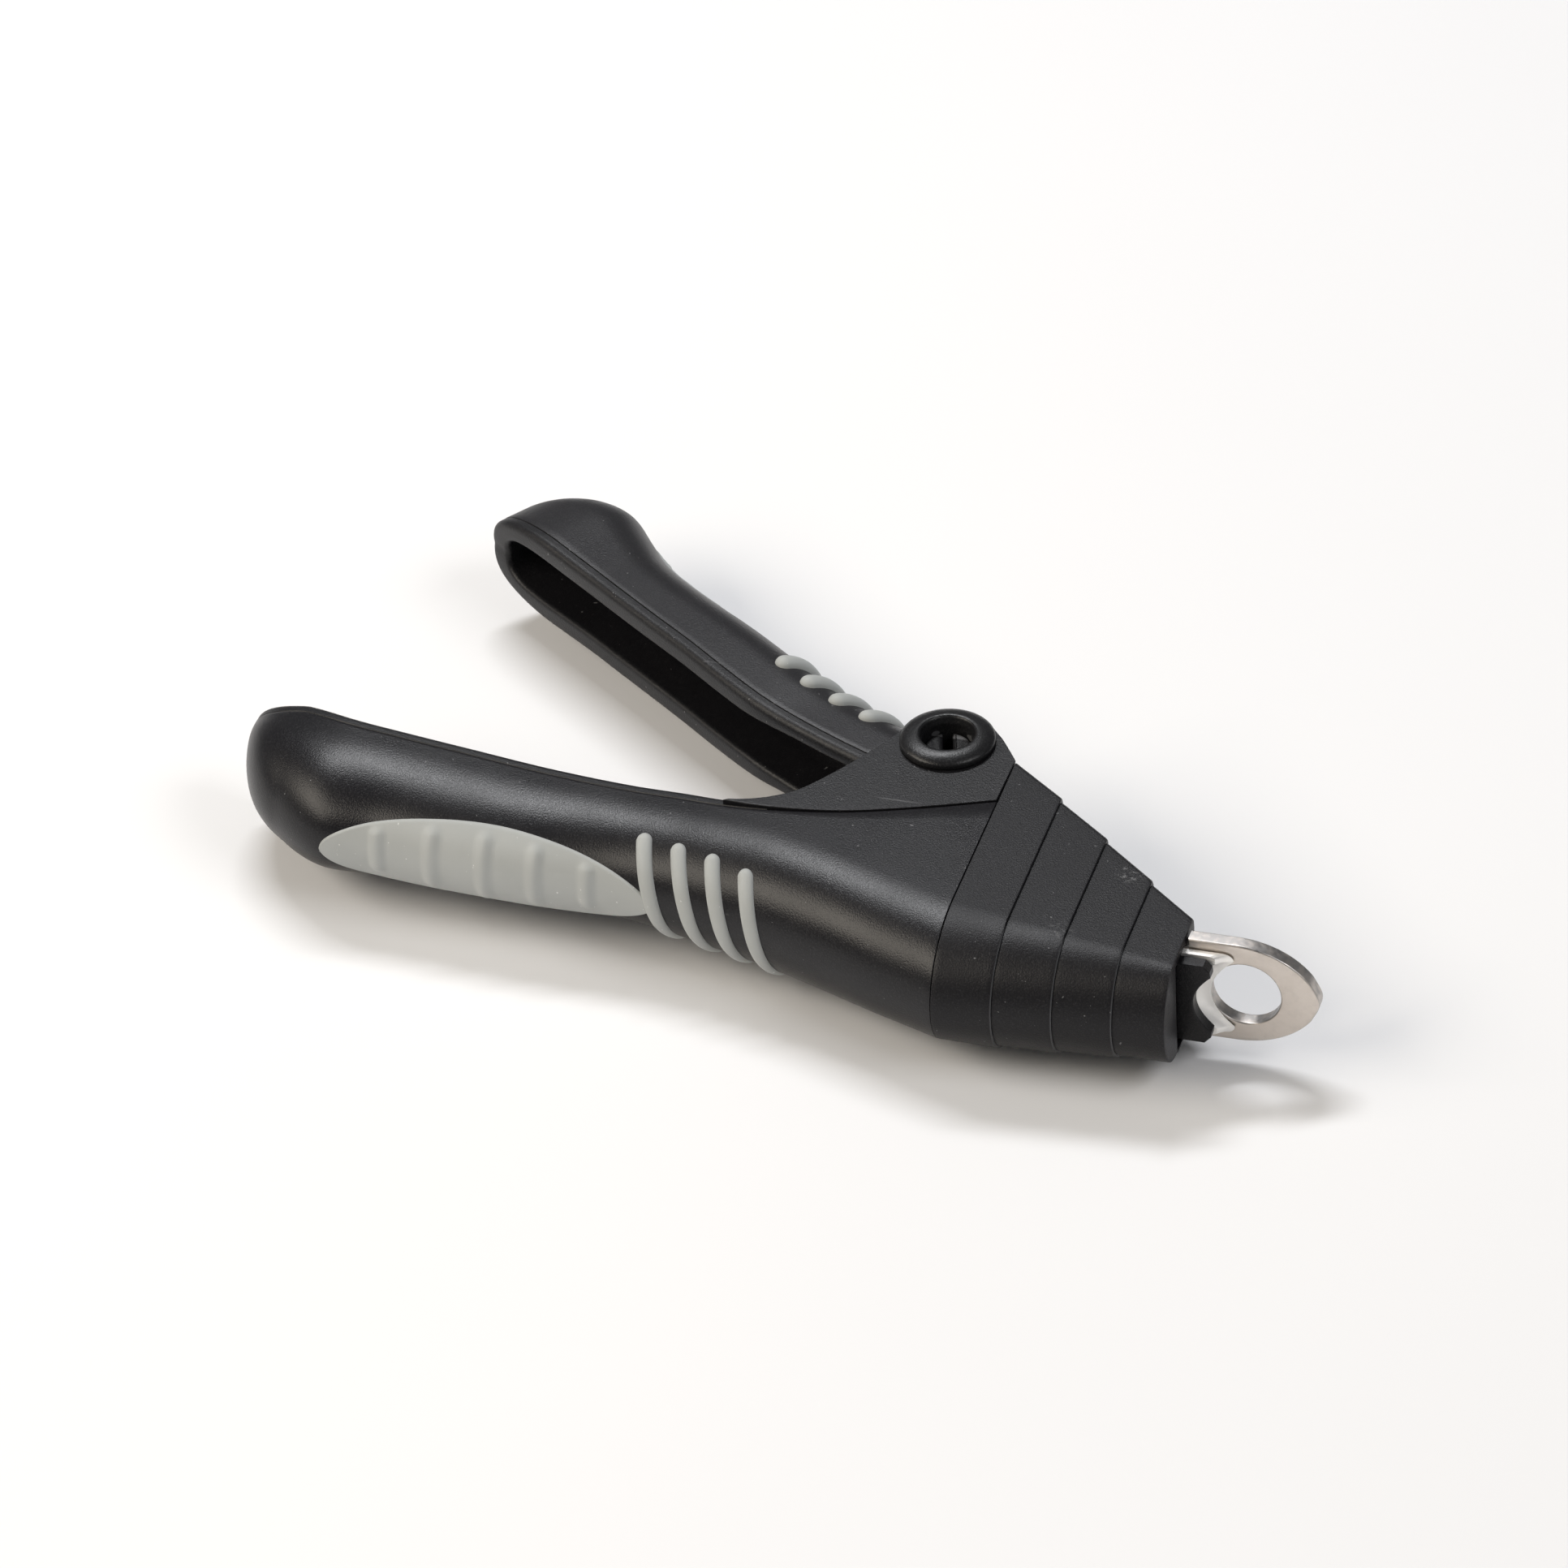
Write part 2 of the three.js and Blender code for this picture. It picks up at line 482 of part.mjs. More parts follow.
// ---------------------------------------------------------------- blade slide
function buildBlade() {
  const { x0, headX, edgeX, hornX, half, corner } = BLADE;
  const stem = SLOT.half - GAP;
  const shape = new THREE.Shape();
  shape.moveTo(x0, -stem);
  shape.lineTo(headX, -stem);
  shape.lineTo(headX, -half);
  shape.lineTo(hornX - corner, -half);
  shape.lineTo(hornX, -half + corner);
  shape.quadraticCurveTo(2 * edgeX - hornX, 0, hornX, half - corner);
  shape.lineTo(hornX - corner, half);
  shape.lineTo(headX, half);
  shape.lineTo(headX, stem);
  shape.lineTo(x0, stem);
  const solid = upright(shape, BLADE.far, BLADE.thick, 14);
  const { xs, holeR, sinkR } = BLADE_SCREW;
  const cuts = xs.flatMap((x) => [
    cylinderY(x, 0, holeR, -FAR_OUT, FAR_OUT), cylinderY(x, 0, sinkR, BLADE.far - 0.7, FAR_OUT),
  ]);
  return cuts.reduce((part, cut) => part.subtract(cut), solid);
}

// Height of the drive pin on its arc about the pivot.
const drivePinY = (x) => -Math.sqrt(DRIVE.radius ** 2 - x ** 2);

function buildCarrier() {
  const { far, thick, stemX, headX, half, frontX, notchX, tailX, tailHalf } = CARRIER;
  const stem = SLOT.half - GAP;
  const shape = new THREE.Shape();
  shape.moveTo(stemX, -stem);
  shape.lineTo(headX, -stem);
  shape.lineTo(headX, -half);
  shape.lineTo(frontX - 1.0, -half);
  shape.lineTo(frontX - 0.1, -half + 1.0);
  shape.lineTo(frontX, -half + 1.9);
  shape.quadraticCurveTo(2 * notchX - frontX, 0, frontX, half - 1.9);
  shape.lineTo(frontX - 0.1, half - 1.0);
  shape.lineTo(frontX - 1.0, half);
  shape.lineTo(headX, half);
  shape.lineTo(headX, stem);
  shape.lineTo(stemX, stem);
  const head = upright(shape, far, thick, 12);
  const tail = box(tailX + YOKE.length - 2, stemX + 1, far - thick, far, -tailHalf, tailHalf);
  const slotNear = -DRIVE.radius - DRIVE.pinR - YOKE.play;
  const slotFar = drivePinY(DRIVE.endX) + DRIVE.pinR + YOKE.play;
  const yoke = box(
    tailX, tailX + YOKE.length, slotNear - YOKE.wall, slotFar + YOKE.wall, -tailHalf, tailHalf,
  );
  const slotR = DRIVE.pinR + 0.2;
  const slot = box(DRIVE.restX - slotR, DRIVE.restX + slotR, slotNear, slotFar, -FAR_OUT, FAR_OUT);
  const screwHoles = BLADE_SCREW.xs.map((x) => cylinderY(x, 0, BLADE_SCREW.threadR, -FAR_OUT, FAR_OUT));
  return screwHoles.reduce((solid, hole) => solid.subtract(hole), head.add(tail).add(yoke).subtract(slot));
}

function buildBladeScrew(x) {
  const { headR, shankR } = BLADE_SCREW;
  const head = cylinderY(x, 0, headR, BLADE.far - 0.6, BLADE.far - 0.1);
  const shank = cylinderY(x, 0, shankR, CARRIER.far - CARRIER.thick + 0.1, BLADE.far - 0.3);
  return head.add(shank);
}

// ---------------------------------------------------------------- lever
const drivePin = () => [DRIVE.restX, drivePinY(DRIVE.restX)];

// Tapered bar in plan from (ax, ay) radius ra to (bx, by) radius rb.
function taperedBar([ax, ay], ra, [bx, by], rb) {
  const angle = Math.atan2(by - ay, bx - ax);
  const shape = new THREE.Shape();
  shape.absarc(bx, by, rb, angle - Math.PI / 2, angle + Math.PI / 2, false);
  shape.absarc(ax, ay, ra, angle + Math.PI / 2, angle + 1.5 * Math.PI, false);
  return shape;
}

function mirroredPlates(shape, z0, z1) {
  return plate(shape, z0, z1, 8).add(plate(shape, -z1, -z0, 8));
}

function buildLeverFrame() {
  const shellInset = (x) => leverWall(x) + GAP;
  const core = handleForm(LEVER, {
    inset: shellInset, openY: (rim) => rim + RIM.width - 0.4, endX: -9.3, count: 12,
  });
  const lip = rimLip(LEVER, -11, 12);
  const hollow = handleForm(LEVER, {
    inset: (x) => shellInset(x) + blendX(x, -34, -20, CORE_WALL, 1.0),
    openY: () => SHELL_OPEN, endX: -4, count: 12,
  });
  const pin = drivePin();
  const alongArm = (distance) => pin.map((c) => c * distance / DRIVE.radius);
  const inPlan = (x, y) => placeLever([x, y, 0]).slice(0, 2);
  const earDiscs = mirroredPlates(taperedBar([0, 0], EAR.r, alongArm(12.5), 3.6), EAR.inner, EAR.outer);
  const { tail, tailR, root, rootR } = WEB;
  const web = taperedBar(inPlan(...tail), tailR, inPlan(...root), rootR);
  const webs = mirroredPlates(web, EAR.inner, WEB.outer)
    .intersect(handleForm(LEVER, { inset: shellInset, endX: 3, count: 12 }));
  const fork = taperedBar(alongArm(11.6), PRONG.rootR, pin, PRONG.endR);
  const prongs = mirroredPlates(fork, PRONG.inner, PRONG.outer);
  const bridge = cylinderZ(...alongArm(16), 2.6, -PRONG.outer, PRONG.outer, 16);
  const { x, y, r, half } = LEVER_POST;
  const post = cylinderZ(...inPlan(x, y), r, -half, half, 12);
  const bore = cylinderZ(0, 0, PIVOT.holeR, -FAR_OUT, FAR_OUT);
  const pinHole = cylinderZ(...pin, DRIVE.pinR + 0.12, -FAR_OUT, FAR_OUT, 16);
  return core.add(lip).subtract(hollow).add(earDiscs).add(webs).add(prongs).add(bridge)
    .add(post).subtract(bore).subtract(pinHole);
}

function buildLeverShell() {
  const outer = handleForm(LEVER, { inset: () => 0, count: 12 });
  const hollow = handleForm(LEVER, {
    inset: leverWall, openY: (rim) => rim + SHELL_OPEN, endX: -4, count: 12,
  });
  const pockets = pocketsOf(LEVER, LEVER_PAD, LEVER_RIDGE);
  return pockets.reduce((shell, pocket) => shell.subtract(pocket), outer.subtract(hollow));
}

// ---------------------------------------------------------------- pivot and spring
function latheZ(profile, segments = 32) {
  const points = profile.map(([r, z]) => new THREE.Vector2(r, z));
  return solidFromGeometry(new THREE.LatheGeometry(points, segments).rotateX(Math.PI / 2));
}

function buildPivotBarrel() {
  const { boreR, barrelR, flangeR, flangeTop: top, barrelEnd } = PIVOT;
  const foot = CHEEK.outer + 0.08;
  return latheZ([
    [boreR, -barrelEnd], [barrelR, -barrelEnd], [barrelR, foot], [flangeR - 0.3, foot], [flangeR, foot + 0.3],
    [flangeR - 0.15, top - 0.65], [flangeR - 0.7, top - 0.2], [flangeR - 1.5, top], [4.5, top],
    [4.1, top - 0.15], [boreR, top - 0.7], [boreR, -barrelEnd],
  ]);
}

function buildPivotPin() {
  const { flangeR, flangeTop: bottom, boreR, pinTop } = PIVOT;
  const face = CHEEK.outer + 0.08;
  const shaftR = boreR - 0.2;
  const pin = latheZ([
    [0, -bottom], [flangeR - 1.0, -bottom], [flangeR - 0.3, -bottom + 0.35], [flangeR, -bottom + 0.9],
    [flangeR, -face - 0.2], [flangeR - 0.2, -face], [shaftR, -face], [shaftR, pinTop - 0.7],
    [shaftR - 0.5, pinTop], [0, pinTop],
  ]);
  const { width, depth, angle } = PIN_SLOT;
  const turned = new THREE.Matrix4().makeRotationZ(angle).setPosition(0, 0, pinTop);
  const slot = solidFromGeometry(new THREE.BoxGeometry(width, 4 * boreR, 2 * depth), turned);
  return pin.subtract(slot);
}

const buildDrivePin = () => cylinderZ(...drivePin(), DRIVE.pinR, -DRIVE.halfLength, DRIVE.halfLength, 16);

// Torsion spring: a close coil round the barrel with one straight leg at each end.
class SpringPath extends THREE.Curve {
  getPoint(t) {
    const { meanR, pitch, leg } = SPRING;
    const coilLength = SPRING_SWEEP * meanR;
    const s = t * (coilLength + 2 * leg) - leg;
    const on = Math.min(Math.max(s, 0), coilLength);
    const a = SPRING_START + on / meanR;
    const z = pitch * (on / meanR - SPRING_SWEEP / 2) / (2 * Math.PI);
    const over = s - on;
    return new THREE.Vector3(
      meanR * Math.cos(a) - over * Math.sin(a), meanR * Math.sin(a) + over * Math.cos(a), z,
    );
  }
}
// The coil starts where the first leg meets the fixed post, and ends where the last leg meets
// the lever's post.
const SPRING_START = 5.093;
const SPRING_SWEEP = 2 * Math.PI * (SPRING.fullTurns + 1) + LEVER_LEG_ANGLE - SPRING_START;

function buildSpring() {
  const section = new THREE.Shape().absarc(0, 0, SPRING.wireR, 0, 2 * Math.PI, false);
  return solidFromGeometry(new THREE.ExtrudeGeometry(section, {
    extrudePath: new SpringPath(), steps: 84, bevelEnabled: false, curveSegments: 4,
  }));
}

// ---------------------------------------------------------------- assembly
function addPiece(group, name, solid, look) {
  const mesh = new THREE.Mesh(geometryFromSolid(solid), new THREE.MeshStandardMaterial(look));
  mesh.name = name;
  group.add(mesh);
}

function addInlays(group, prefix, handle, pad, firstRidge) {
  addPiece(group, `${prefix}_grip_pad`, inlay(handle, leafOutline(pad), PAD.proud, PAD.depth), GREY_RUBBER);
  for (let i = 0; i < RIDGE.count; i++) {
    const ridge = inlay(handle, barOutline(ridgeAt(firstRidge, i)), RIDGE.proud, RIDGE.depth);
    addPiece(group, `${prefix}_grip_ridge_${i + 1}`, ridge, GREY_RUBBER);
  }
}

function buildTrimmer() {
  const tool = new THREE.Group();
  tool.position.z = MID_Z;
  addPiece(tool, 'fixed_frame', buildFixedFrame(), BLACK);
  addPiece(tool, 'fixed_shell', buildFixedShell(), BLACK);
  addPiece(tool, 'nose_cap', buildNoseCap(), BLACK);
  addPiece(tool, 'guide_block', buildGuideBlock(), BLACK);
  addPiece(tool, 'cutting_ring', buildRing(), STEEL);
  RING_SCREW.xs.forEach((x, i) => addPiece(tool, `ring_screw_${i + 1}`, buildRingScrew(x), STEEL));
  addPiece(tool, 'blade', buildBlade(), STEEL);
  addPiece(tool, 'blade_carrier', buildCarrier(), BLACK);
  BLADE_SCREW.xs.forEach((x, i) => addPiece(tool, `blade_screw_${i + 1}`, buildBladeScrew(x), STEEL));
  addPiece(tool, 'lever_frame', buildLeverFrame(), BLACK);
  addPiece(tool, 'lever_shell', buildLeverShell(), BLACK);
  addPiece(tool, 'drive_pin', buildDrivePin(), STEEL);
  addPiece(tool, 'pivot_barrel', buildPivotBarrel(), GLOSS_BLACK);
  addPiece(tool, 'pivot_pin', buildPivotPin(), GLOSS_BLACK);
  addPiece(tool, 'torsion_spring', buildSpring(), STEEL);
  addInlays(tool, 'fixed', FIXED, FIXED_PAD, FIXED_RIDGE);
  addInlays(tool, 'lever', LEVER, LEVER_PAD, LEVER_RIDGE);
  const part = new THREE.Group();
  part.add(tool);
  return part;
}

export default buildTrimmer();
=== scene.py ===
"""Looks for the pet nail trimmer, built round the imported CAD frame.

Shapes are laid out in millimetres about the tool's mid-plane, as the CAD pieces are, and put into
the frame in metres. x runs with the blade's stroke, y from the fixed handle to the lever.
"""
import math

import bmesh
import bpy
import numpy as np
from mathutils import Euler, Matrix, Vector


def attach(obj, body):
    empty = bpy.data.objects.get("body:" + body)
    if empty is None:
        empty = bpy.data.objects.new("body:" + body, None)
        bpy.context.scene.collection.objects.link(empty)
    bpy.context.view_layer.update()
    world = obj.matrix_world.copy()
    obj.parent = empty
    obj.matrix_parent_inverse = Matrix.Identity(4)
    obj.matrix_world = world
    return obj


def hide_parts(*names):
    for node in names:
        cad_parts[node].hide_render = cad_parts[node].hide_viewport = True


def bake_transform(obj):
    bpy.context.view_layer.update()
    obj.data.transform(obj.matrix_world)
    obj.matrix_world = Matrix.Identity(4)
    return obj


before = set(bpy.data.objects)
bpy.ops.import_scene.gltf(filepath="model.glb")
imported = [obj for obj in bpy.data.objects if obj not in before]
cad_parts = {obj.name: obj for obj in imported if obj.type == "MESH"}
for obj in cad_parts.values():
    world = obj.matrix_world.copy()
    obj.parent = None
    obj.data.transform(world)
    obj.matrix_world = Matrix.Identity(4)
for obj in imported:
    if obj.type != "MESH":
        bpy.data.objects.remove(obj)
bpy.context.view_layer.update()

MM = 0.001
MID_Z = 12.0  # height of the tool's mid-plane above what it lies on, mm
GAP = 0.3  # clearance between neighbouring pieces, mm
BLUNT = 0.95  # exponent that fills out the handles' round backs
BULB_ROWS = 34  # sections round a handle's closed end
RUN_ROWS = 110  # sections along the rest of it
FULL_TURN = 2 * math.pi

# ------------------------------------------------------------------ handle forms
# Table rows: x, rim y, back y, half-thickness, depth of the rounded back.
# tip: x of the closed end, x where it starts to round off, y that it closes on.
# wall and core: from x, to x and the thickness at each, for the shell and the channel inside it.
FIXED = {
    "table": [
        (-92, -11.8, -28.8, 9.4, 14), (-84, -13.8, -30.5, 9.4, 14), (-76, -14.7, -30.6, 9.0, 13.8),
        (-66, -15.8, -31.6, 8.6, 13.5), (-54, -17.3, -32.3, 8.3, 12.8), (-42, -18.6, -32.2, 8.4, 11.8),
        (-33, -19.5, -33.4, 8.95, 11.7), (-27, -20.3, -34.8, 9.45, 11.8),
        (-20, -20.4, -36.4, 9.9, 12), (-10, -19.0, -39.8, 10.15, 12.4),
        (0, -15.8, -43.7, 10.15, 12.6), (10.45, -11.7, -47.4, 10.15, 12.7),
    ],
    "tip": (-100.95, -83.0, -8.2),
    "rim_power": 1.3,
    "turn": None,
    "wall": (-40, -26, 1.6, 1.2),
    "core": (-36, -22, 1.5, 0.85),
}
LEVER = {
    "table": [
        (-86, 9.8, -6.4, 7.3, 8.2), (-80, 9.8, -5.9, 7.3, 8.2), (-75, 9.8, -4.4, 7.2, 8),
        (-69, 9.8, -2.6, 7.1, 7.6), (-64, 9.9, -1.9, 7.1, 7.4), (-56, 10.0, -1.8, 7.1, 7.3),
        (-47, 10.1, -2.1, 7.2, 7.3), (-38, 10.4, -2.0, 7.2, 7.3), (-30, 10.4, -1.6, 7.1, 7.2),
        (-24, 9.8, -1.8, 6.9, 7), (-16, 8.7, -2.8, 6.9, 7), (-9, 7.4, -4.2, 6.9, 7),
    ],
    "tip": (-94.2, -80.0, 9.4),
    "rim_power": 0.45,
    "turn": math.radians(-36),
    "wall": (-34, -20, 1.6, 1.2),
    "core": (-34, -20, 1.5, 1.0),
}


def hermite(table, column, x):
    """Smooth curve through one column of a table of rows, flat beyond its ends."""
    rows = np.array(table, float)
    xs, v = rows[:, 0], rows[:, column]
    slope = np.empty_like(v)
    slope[1:-1] = (v[2:] - v[:-2]) / (xs[2:] - xs[:-2])
    slope[0] = (v[1] - v[0]) / (xs[1] - xs[0])
    slope[-1] = (v[-1] - v[-2]) / (xs[-1] - xs[-2])
    x = np.clip(x, xs[0], xs[-1])
    i = np.clip(np.searchsorted(xs, x, side="right") - 1, 0, len(xs) - 2)
    span = xs[i + 1] - xs[i]
    t = (x - xs[i]) / span
    t2, t3 = t * t, t * t * t
    return (
        (2 * t3 - 3 * t2 + 1) * v[i] + (t3 - 2 * t2 + t) * span * slope[i]
        + (3 * t2 - 2 * t3) * v[i + 1] + (t3 - t2) * span * slope[i + 1]
    )


def ease(x, x0, x1, v0, v1):
    """Smooth step from v0 at x0 to v1 at x1."""
    t = np.clip((x - x0) / (x1 - x0), 0, 1)
    return v0 + (v1 - v0) * t * t * (3 - 2 * t)


def channel_inset(handle):
    return lambda x: ease(x, *handle["wall"]) + GAP + ease(x, *handle["core"])


def form_at(handle, x, along, inset):
    """Rim, back, half-thickness and rounding depth at x; along is 1 at the bulb's very tip."""
    mid = handle["tip"][2]
    close = np.sqrt(np.maximum(0, 1 - along**2))
    column = [hermite(handle["table"], k, x) for k in range(5)]
    rim = mid + (column[1] - mid) * close ** handle["rim_power"]
    back = mid + (column[2] + inset - mid) * close
    half = (column[3] - inset) * close**0.7
    return rim, back, half, (column[4] - inset) * close


def stations(handle, inset, end_x, square=1.0):
    """Rows along a handle from its tip to end_x, closer together round the bulb.
    square above 1 makes the end blunter."""
    tip_x, round_x, _ = handle["tip"]
    tip_inset = inset(tip_x) + square - 1
    t = np.sin(np.linspace(math.pi / 2, 0, BULB_ROWS, endpoint=False))
    bulb = round_x - (round_x - tip_x - tip_inset) * t
    x = np.concatenate([bulb, np.linspace(round_x, end_x, RUN_ROWS)])
    along = np.concatenate([t, np.zeros(RUN_ROWS)])
    inset_here = np.where(x < round_x, inset(tip_x), inset(x))
    return (x, *form_at(handle, x, along**square, inset_here))


def power(v):
    return np.sign(v) * np.abs(v) ** BLUNT


def placed(handle, points):
    """A handle's own x, y, z to the tool's."""
    if handle["turn"] is None:
        return points
    c, s = math.cos(handle["turn"]), math.sin(handle["turn"])
    x, y, z = points[..., 0], points[..., 1], points[..., 2]
    return np.stack([x * c + y * s, x * s - y * c, z], axis=-1)


def wrap_sections(x, start, back, half, rnd, lead=()):
    """Sections open at the top: down one side, round the back and up the other side.
    lead holds (drop below start, inset) pairs for the edge at the opening."""
    a = np.linspace(math.pi / 2, -math.pi / 2, 57)
    arc_y = back[:, None] + rnd[:, None] * (1 - power(np.cos(a)))
    arc_z = half[:, None] * power(np.sin(a))
    steps = np.linspace(0, 1, 7)[:-1]
    first = start - (lead[-1][0] if lead else 0)
    side_y = first[:, None] + (back + rnd - first)[:, None] * steps
    side_z = np.repeat(half[:, None], len(steps), axis=1)
    edge = [(start - drop, half - np.minimum(pull, 0.5 * half)) for drop, pull in lead[:-1]]
    edge_y = np.stack([e[0] for e in edge], 1) if edge else np.empty((len(x), 0))
    edge_z = np.stack([e[1] for e in edge], 1) if edge else np.empty((len(x), 0))
    y = np.concatenate([edge_y, side_y, arc_y, side_y[:, ::-1], edge_y[:, ::-1]], axis=1)
    z = np.concatenate([edge_z, side_z, arc_z, -side_z, -edge_z[:, ::-1]], axis=1)
    return np.stack([np.repeat(x[:, None], y.shape[1], axis=1), y, z], axis=-1)


# ------------------------------------------------------------------ mesh helpers
class Skin:
    """Gathers grids of points, in tool millimetres, into one mesh."""

    def __init__(self):
        self.points, self.faces = [], []

    def grid(self, pts, closed=False):
        rows, cols = pts.shape[:2]
        base = len(self.points)
        self.points += pts.reshape(-1, 3).tolist()
        for i in range(rows - 1):
            for j in range(cols if closed else cols - 1):
                k = (j + 1) % cols
                a, b = base + i * cols, base + (i + 1) * cols
                self.faces.append((a + j, a + k, b + k, b + j))
        return self

    def cap(self, ring):
        base = len(self.points)
        self.points += np.asarray(ring, float).tolist()
        self.faces.append(tuple(range(base, len(self.points))))
        return self

    def mesh(self, mesh):
        base = len(self.points)
        self.points += [tuple(v.co) for v in mesh.vertices]
        self.faces += [tuple(base + i for i in p.vertices) for p in mesh.polygons]
        return self


def finish_piece(name, skin, material, body, replaces, sharp=32, weld=0.002, weighted=True):
    """Turns a skin into an object that rides on a CAD body, if given, and stands for CAD nodes.
    sharp is the angle in degrees above which an edge stays hard; weld is in millimetres."""
    points = [(x * MM, y * MM, (z + MID_Z) * MM) for x, y, z in skin.points]
    mesh = bpy.data.meshes.new(name)
    mesh.from_pydata(points, [], skin.faces)
    work = bmesh.new()
    work.from_mesh(mesh)
    bmesh.ops.remove_doubles(work, verts=work.verts, dist=weld * MM)
    bmesh.ops.dissolve_degenerate(work, edges=work.edges, dist=weld * MM * 0.5)
    bmesh.ops.recalc_face_normals(work, faces=work.faces)
    work.to_mesh(mesh)
    work.free()
    mesh.shade_smooth()
    mesh.set_sharp_from_angle(angle=math.radians(sharp))
    mesh.materials.append(material)
    obj = bpy.data.objects.new(name, mesh)
    bpy.context.scene.collection.objects.link(obj)
    if weighted:
        tidy = obj.modifiers.new("weighted normals", "WEIGHTED_NORMAL")
        tidy.keep_sharp = True
    if body:
        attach(obj, body)
    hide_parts(*replaces)
    return obj


def plate(outlines, low, high, bevel, upright=False):
    """Rounded-edge plate from closed outlines, the first outside and the rest holes.
    Flat plates lie in x, y between z = low and high; upright ones lie in x, z between y values."""
    curve = bpy.data.curves.new("outline", "CURVE")
    curve.dimensions = "2D"
    curve.fill_mode = "BOTH"
    curve.extrude = (high - low) / 2 - bevel
    curve.bevel_depth = bevel
    curve.bevel_resolution = 3
    curve.offset = -bevel
    for outline in outlines:
        spline = curve.splines.new("POLY")
        spline.points.add(len(outline) - 1)
        for point, (x, y) in zip(spline.points, outline):
            point.co = (x, y, 0, 1)
        spline.use_cyclic_u = True
    obj = bpy.data.objects.new("outline", curve)
    bpy.context.scene.collection.objects.link(obj)
    graph = bpy.context.evaluated_depsgraph_get()
    mesh = bpy.data.meshes.new_from_object(obj.evaluated_get(graph))
    middle = (low + high) / 2
    for v in mesh.vertices:
        x, y, z = v.co
        v.co = (x, z + middle, y) if upright else (x, y, z + middle)
    bpy.data.objects.remove(obj)
    bpy.data.curves.remove(curve)
    return mesh


def lathe(profile, segments=112):
    """Profile of (radius, z) points turned about the z axis."""
    a = np.linspace(0, FULL_TURN, segments, endpoint=False)
    r, z = np.array(profile, float).T
    height = np.repeat(z[:, None], segments, 1)
    return np.stack([r[:, None] * np.cos(a), r[:, None] * np.sin(a), height], -1)


def arc(cx, cy, r, start, end, steps):
    a = np.linspace(start, end, steps)
    return [(cx + r * math.cos(t), cy + r * math.sin(t)) for t in a]


def bezier(p0, p1, p2, p3, steps=18):
    t = np.linspace(0, 1, steps + 1)[1:, None]
    p = [np.array(q, float) for q in (p0, p1, p2, p3)]
    out = (1 - t) ** 3 * p[0] + 3 * (1 - t) ** 2 * t * p[1] + 3 * (1 - t) * t * t * p[2] + t**3 * p[3]
    return [tuple(q) for q in out]


# ------------------------------------------------------------------ materials
def new_material(name, colour, roughness, metallic=0.0):
    material = bpy.data.materials.new(name)
    material.use_nodes = True
    shader = material.node_tree.nodes["Principled BSDF"]
    shader.inputs["Base Color"].default_value = (*colour, 1)
    shader.inputs["Roughness"].default_value = roughness
    shader.inputs["Metallic"].default_value = metallic
    return material, shader


def node(material, kind, **values):
    made = material.node_tree.nodes.new(kind)
    for key, value in values.items():
        if hasattr(made, key):
            setattr(made, key, value)
        else:
            made.inputs[key].default_value = value
    return made


def noise(material, scale, detail=2.0, stretch=(1, 1, 1), turn=(0, 0, 0), roughness=0.5):
    """Noise in the piece's own coordinates, in metres, so that grain stays with the piece."""
    links = material.node_tree.links
    where = node(material, "ShaderNodeTexCoord")
    mapping = node(material, "ShaderNodeMapping")
    mapping.inputs["Scale"].default_value = stretch
    mapping.inputs["Rotation"].default_value = turn
    texture = node(material, "ShaderNodeTexNoise", Scale=scale, Detail=detail, Roughness=roughness)
    links.new(where.outputs["Object"], mapping.inputs["Vector"])
    links.new(mapping.outputs["Vector"], texture.inputs["Vector"])
    return texture.outputs["Fac"]


def ranged(material, value, low, high, to_low, to_high):
    links = material.node_tree.links
    made = node(material, "ShaderNodeMapRange")
    made.interpolation_type = "SMOOTHSTEP"
    limits = {"From Min": low, "From Max": high, "To Min": to_low, "To Max": to_high}
    for key, number in limits.items():
        made.inputs[key].default_value = number
    links.new(value, made.inputs["Value"])
    return made.outputs["Result"]


def combined(material, operation, a, b):
    links = material.node_tree.links
    made = node(material, "ShaderNodeMath", operation=operation)
    for socket, value in zip(made.inputs, (a, b)):
        if isinstance(value, (int, float)):
            socket.default_value = value
        else:
            links.new(value, socket)
    return made.outputs["Value"]


def tint(material, factor, base, other):
    """Colour that goes from base to other with factor."""
    links = material.node_tree.links
    mix = node(material, "ShaderNodeMix", data_type="RGBA")
    links.new(factor, mix.inputs["Factor"])
    colours = [s for s in mix.inputs if s.type == "RGBA"]
    colours[0].default_value = (*base, 1)
    if isinstance(other, tuple):
        colours[1].default_value = (*other, 1)
    else:
        links.new(other, colours[1])
    return [s for s in mix.outputs if s.type == "RGBA"][0]


def bump(material, shader, height, distance, strength):
    links = material.node_tree.links
    made = node(material, "ShaderNodeBump", Strength=strength, Distance=distance)
    links.new(height, made.inputs["Height"])
    links.new(made.outputs["Normal"], shader.inputs["Normal"])


def near_point(material, centre, radius):
    """1 close to a point of the piece, falling to 0 at radius, in metres."""
    links = material.node_tree.links
    where = node(material, "ShaderNodeTexCoord")
    away = node(material, "ShaderNodeVectorMath", operation="DISTANCE")
    links.new(where.outputs["Object"], away.inputs[0])
    away.inputs[1].default_value = centre
    return ranged(material, away.outputs["Value"], 0.0, radius, 1.0, 0.0)


DUST_AND_HIGHLIGHT_GREY = (0.30, 0.30, 0.31)  # dust, hairlines and scuffs on black plastic, and the painted highlight on lit step faces
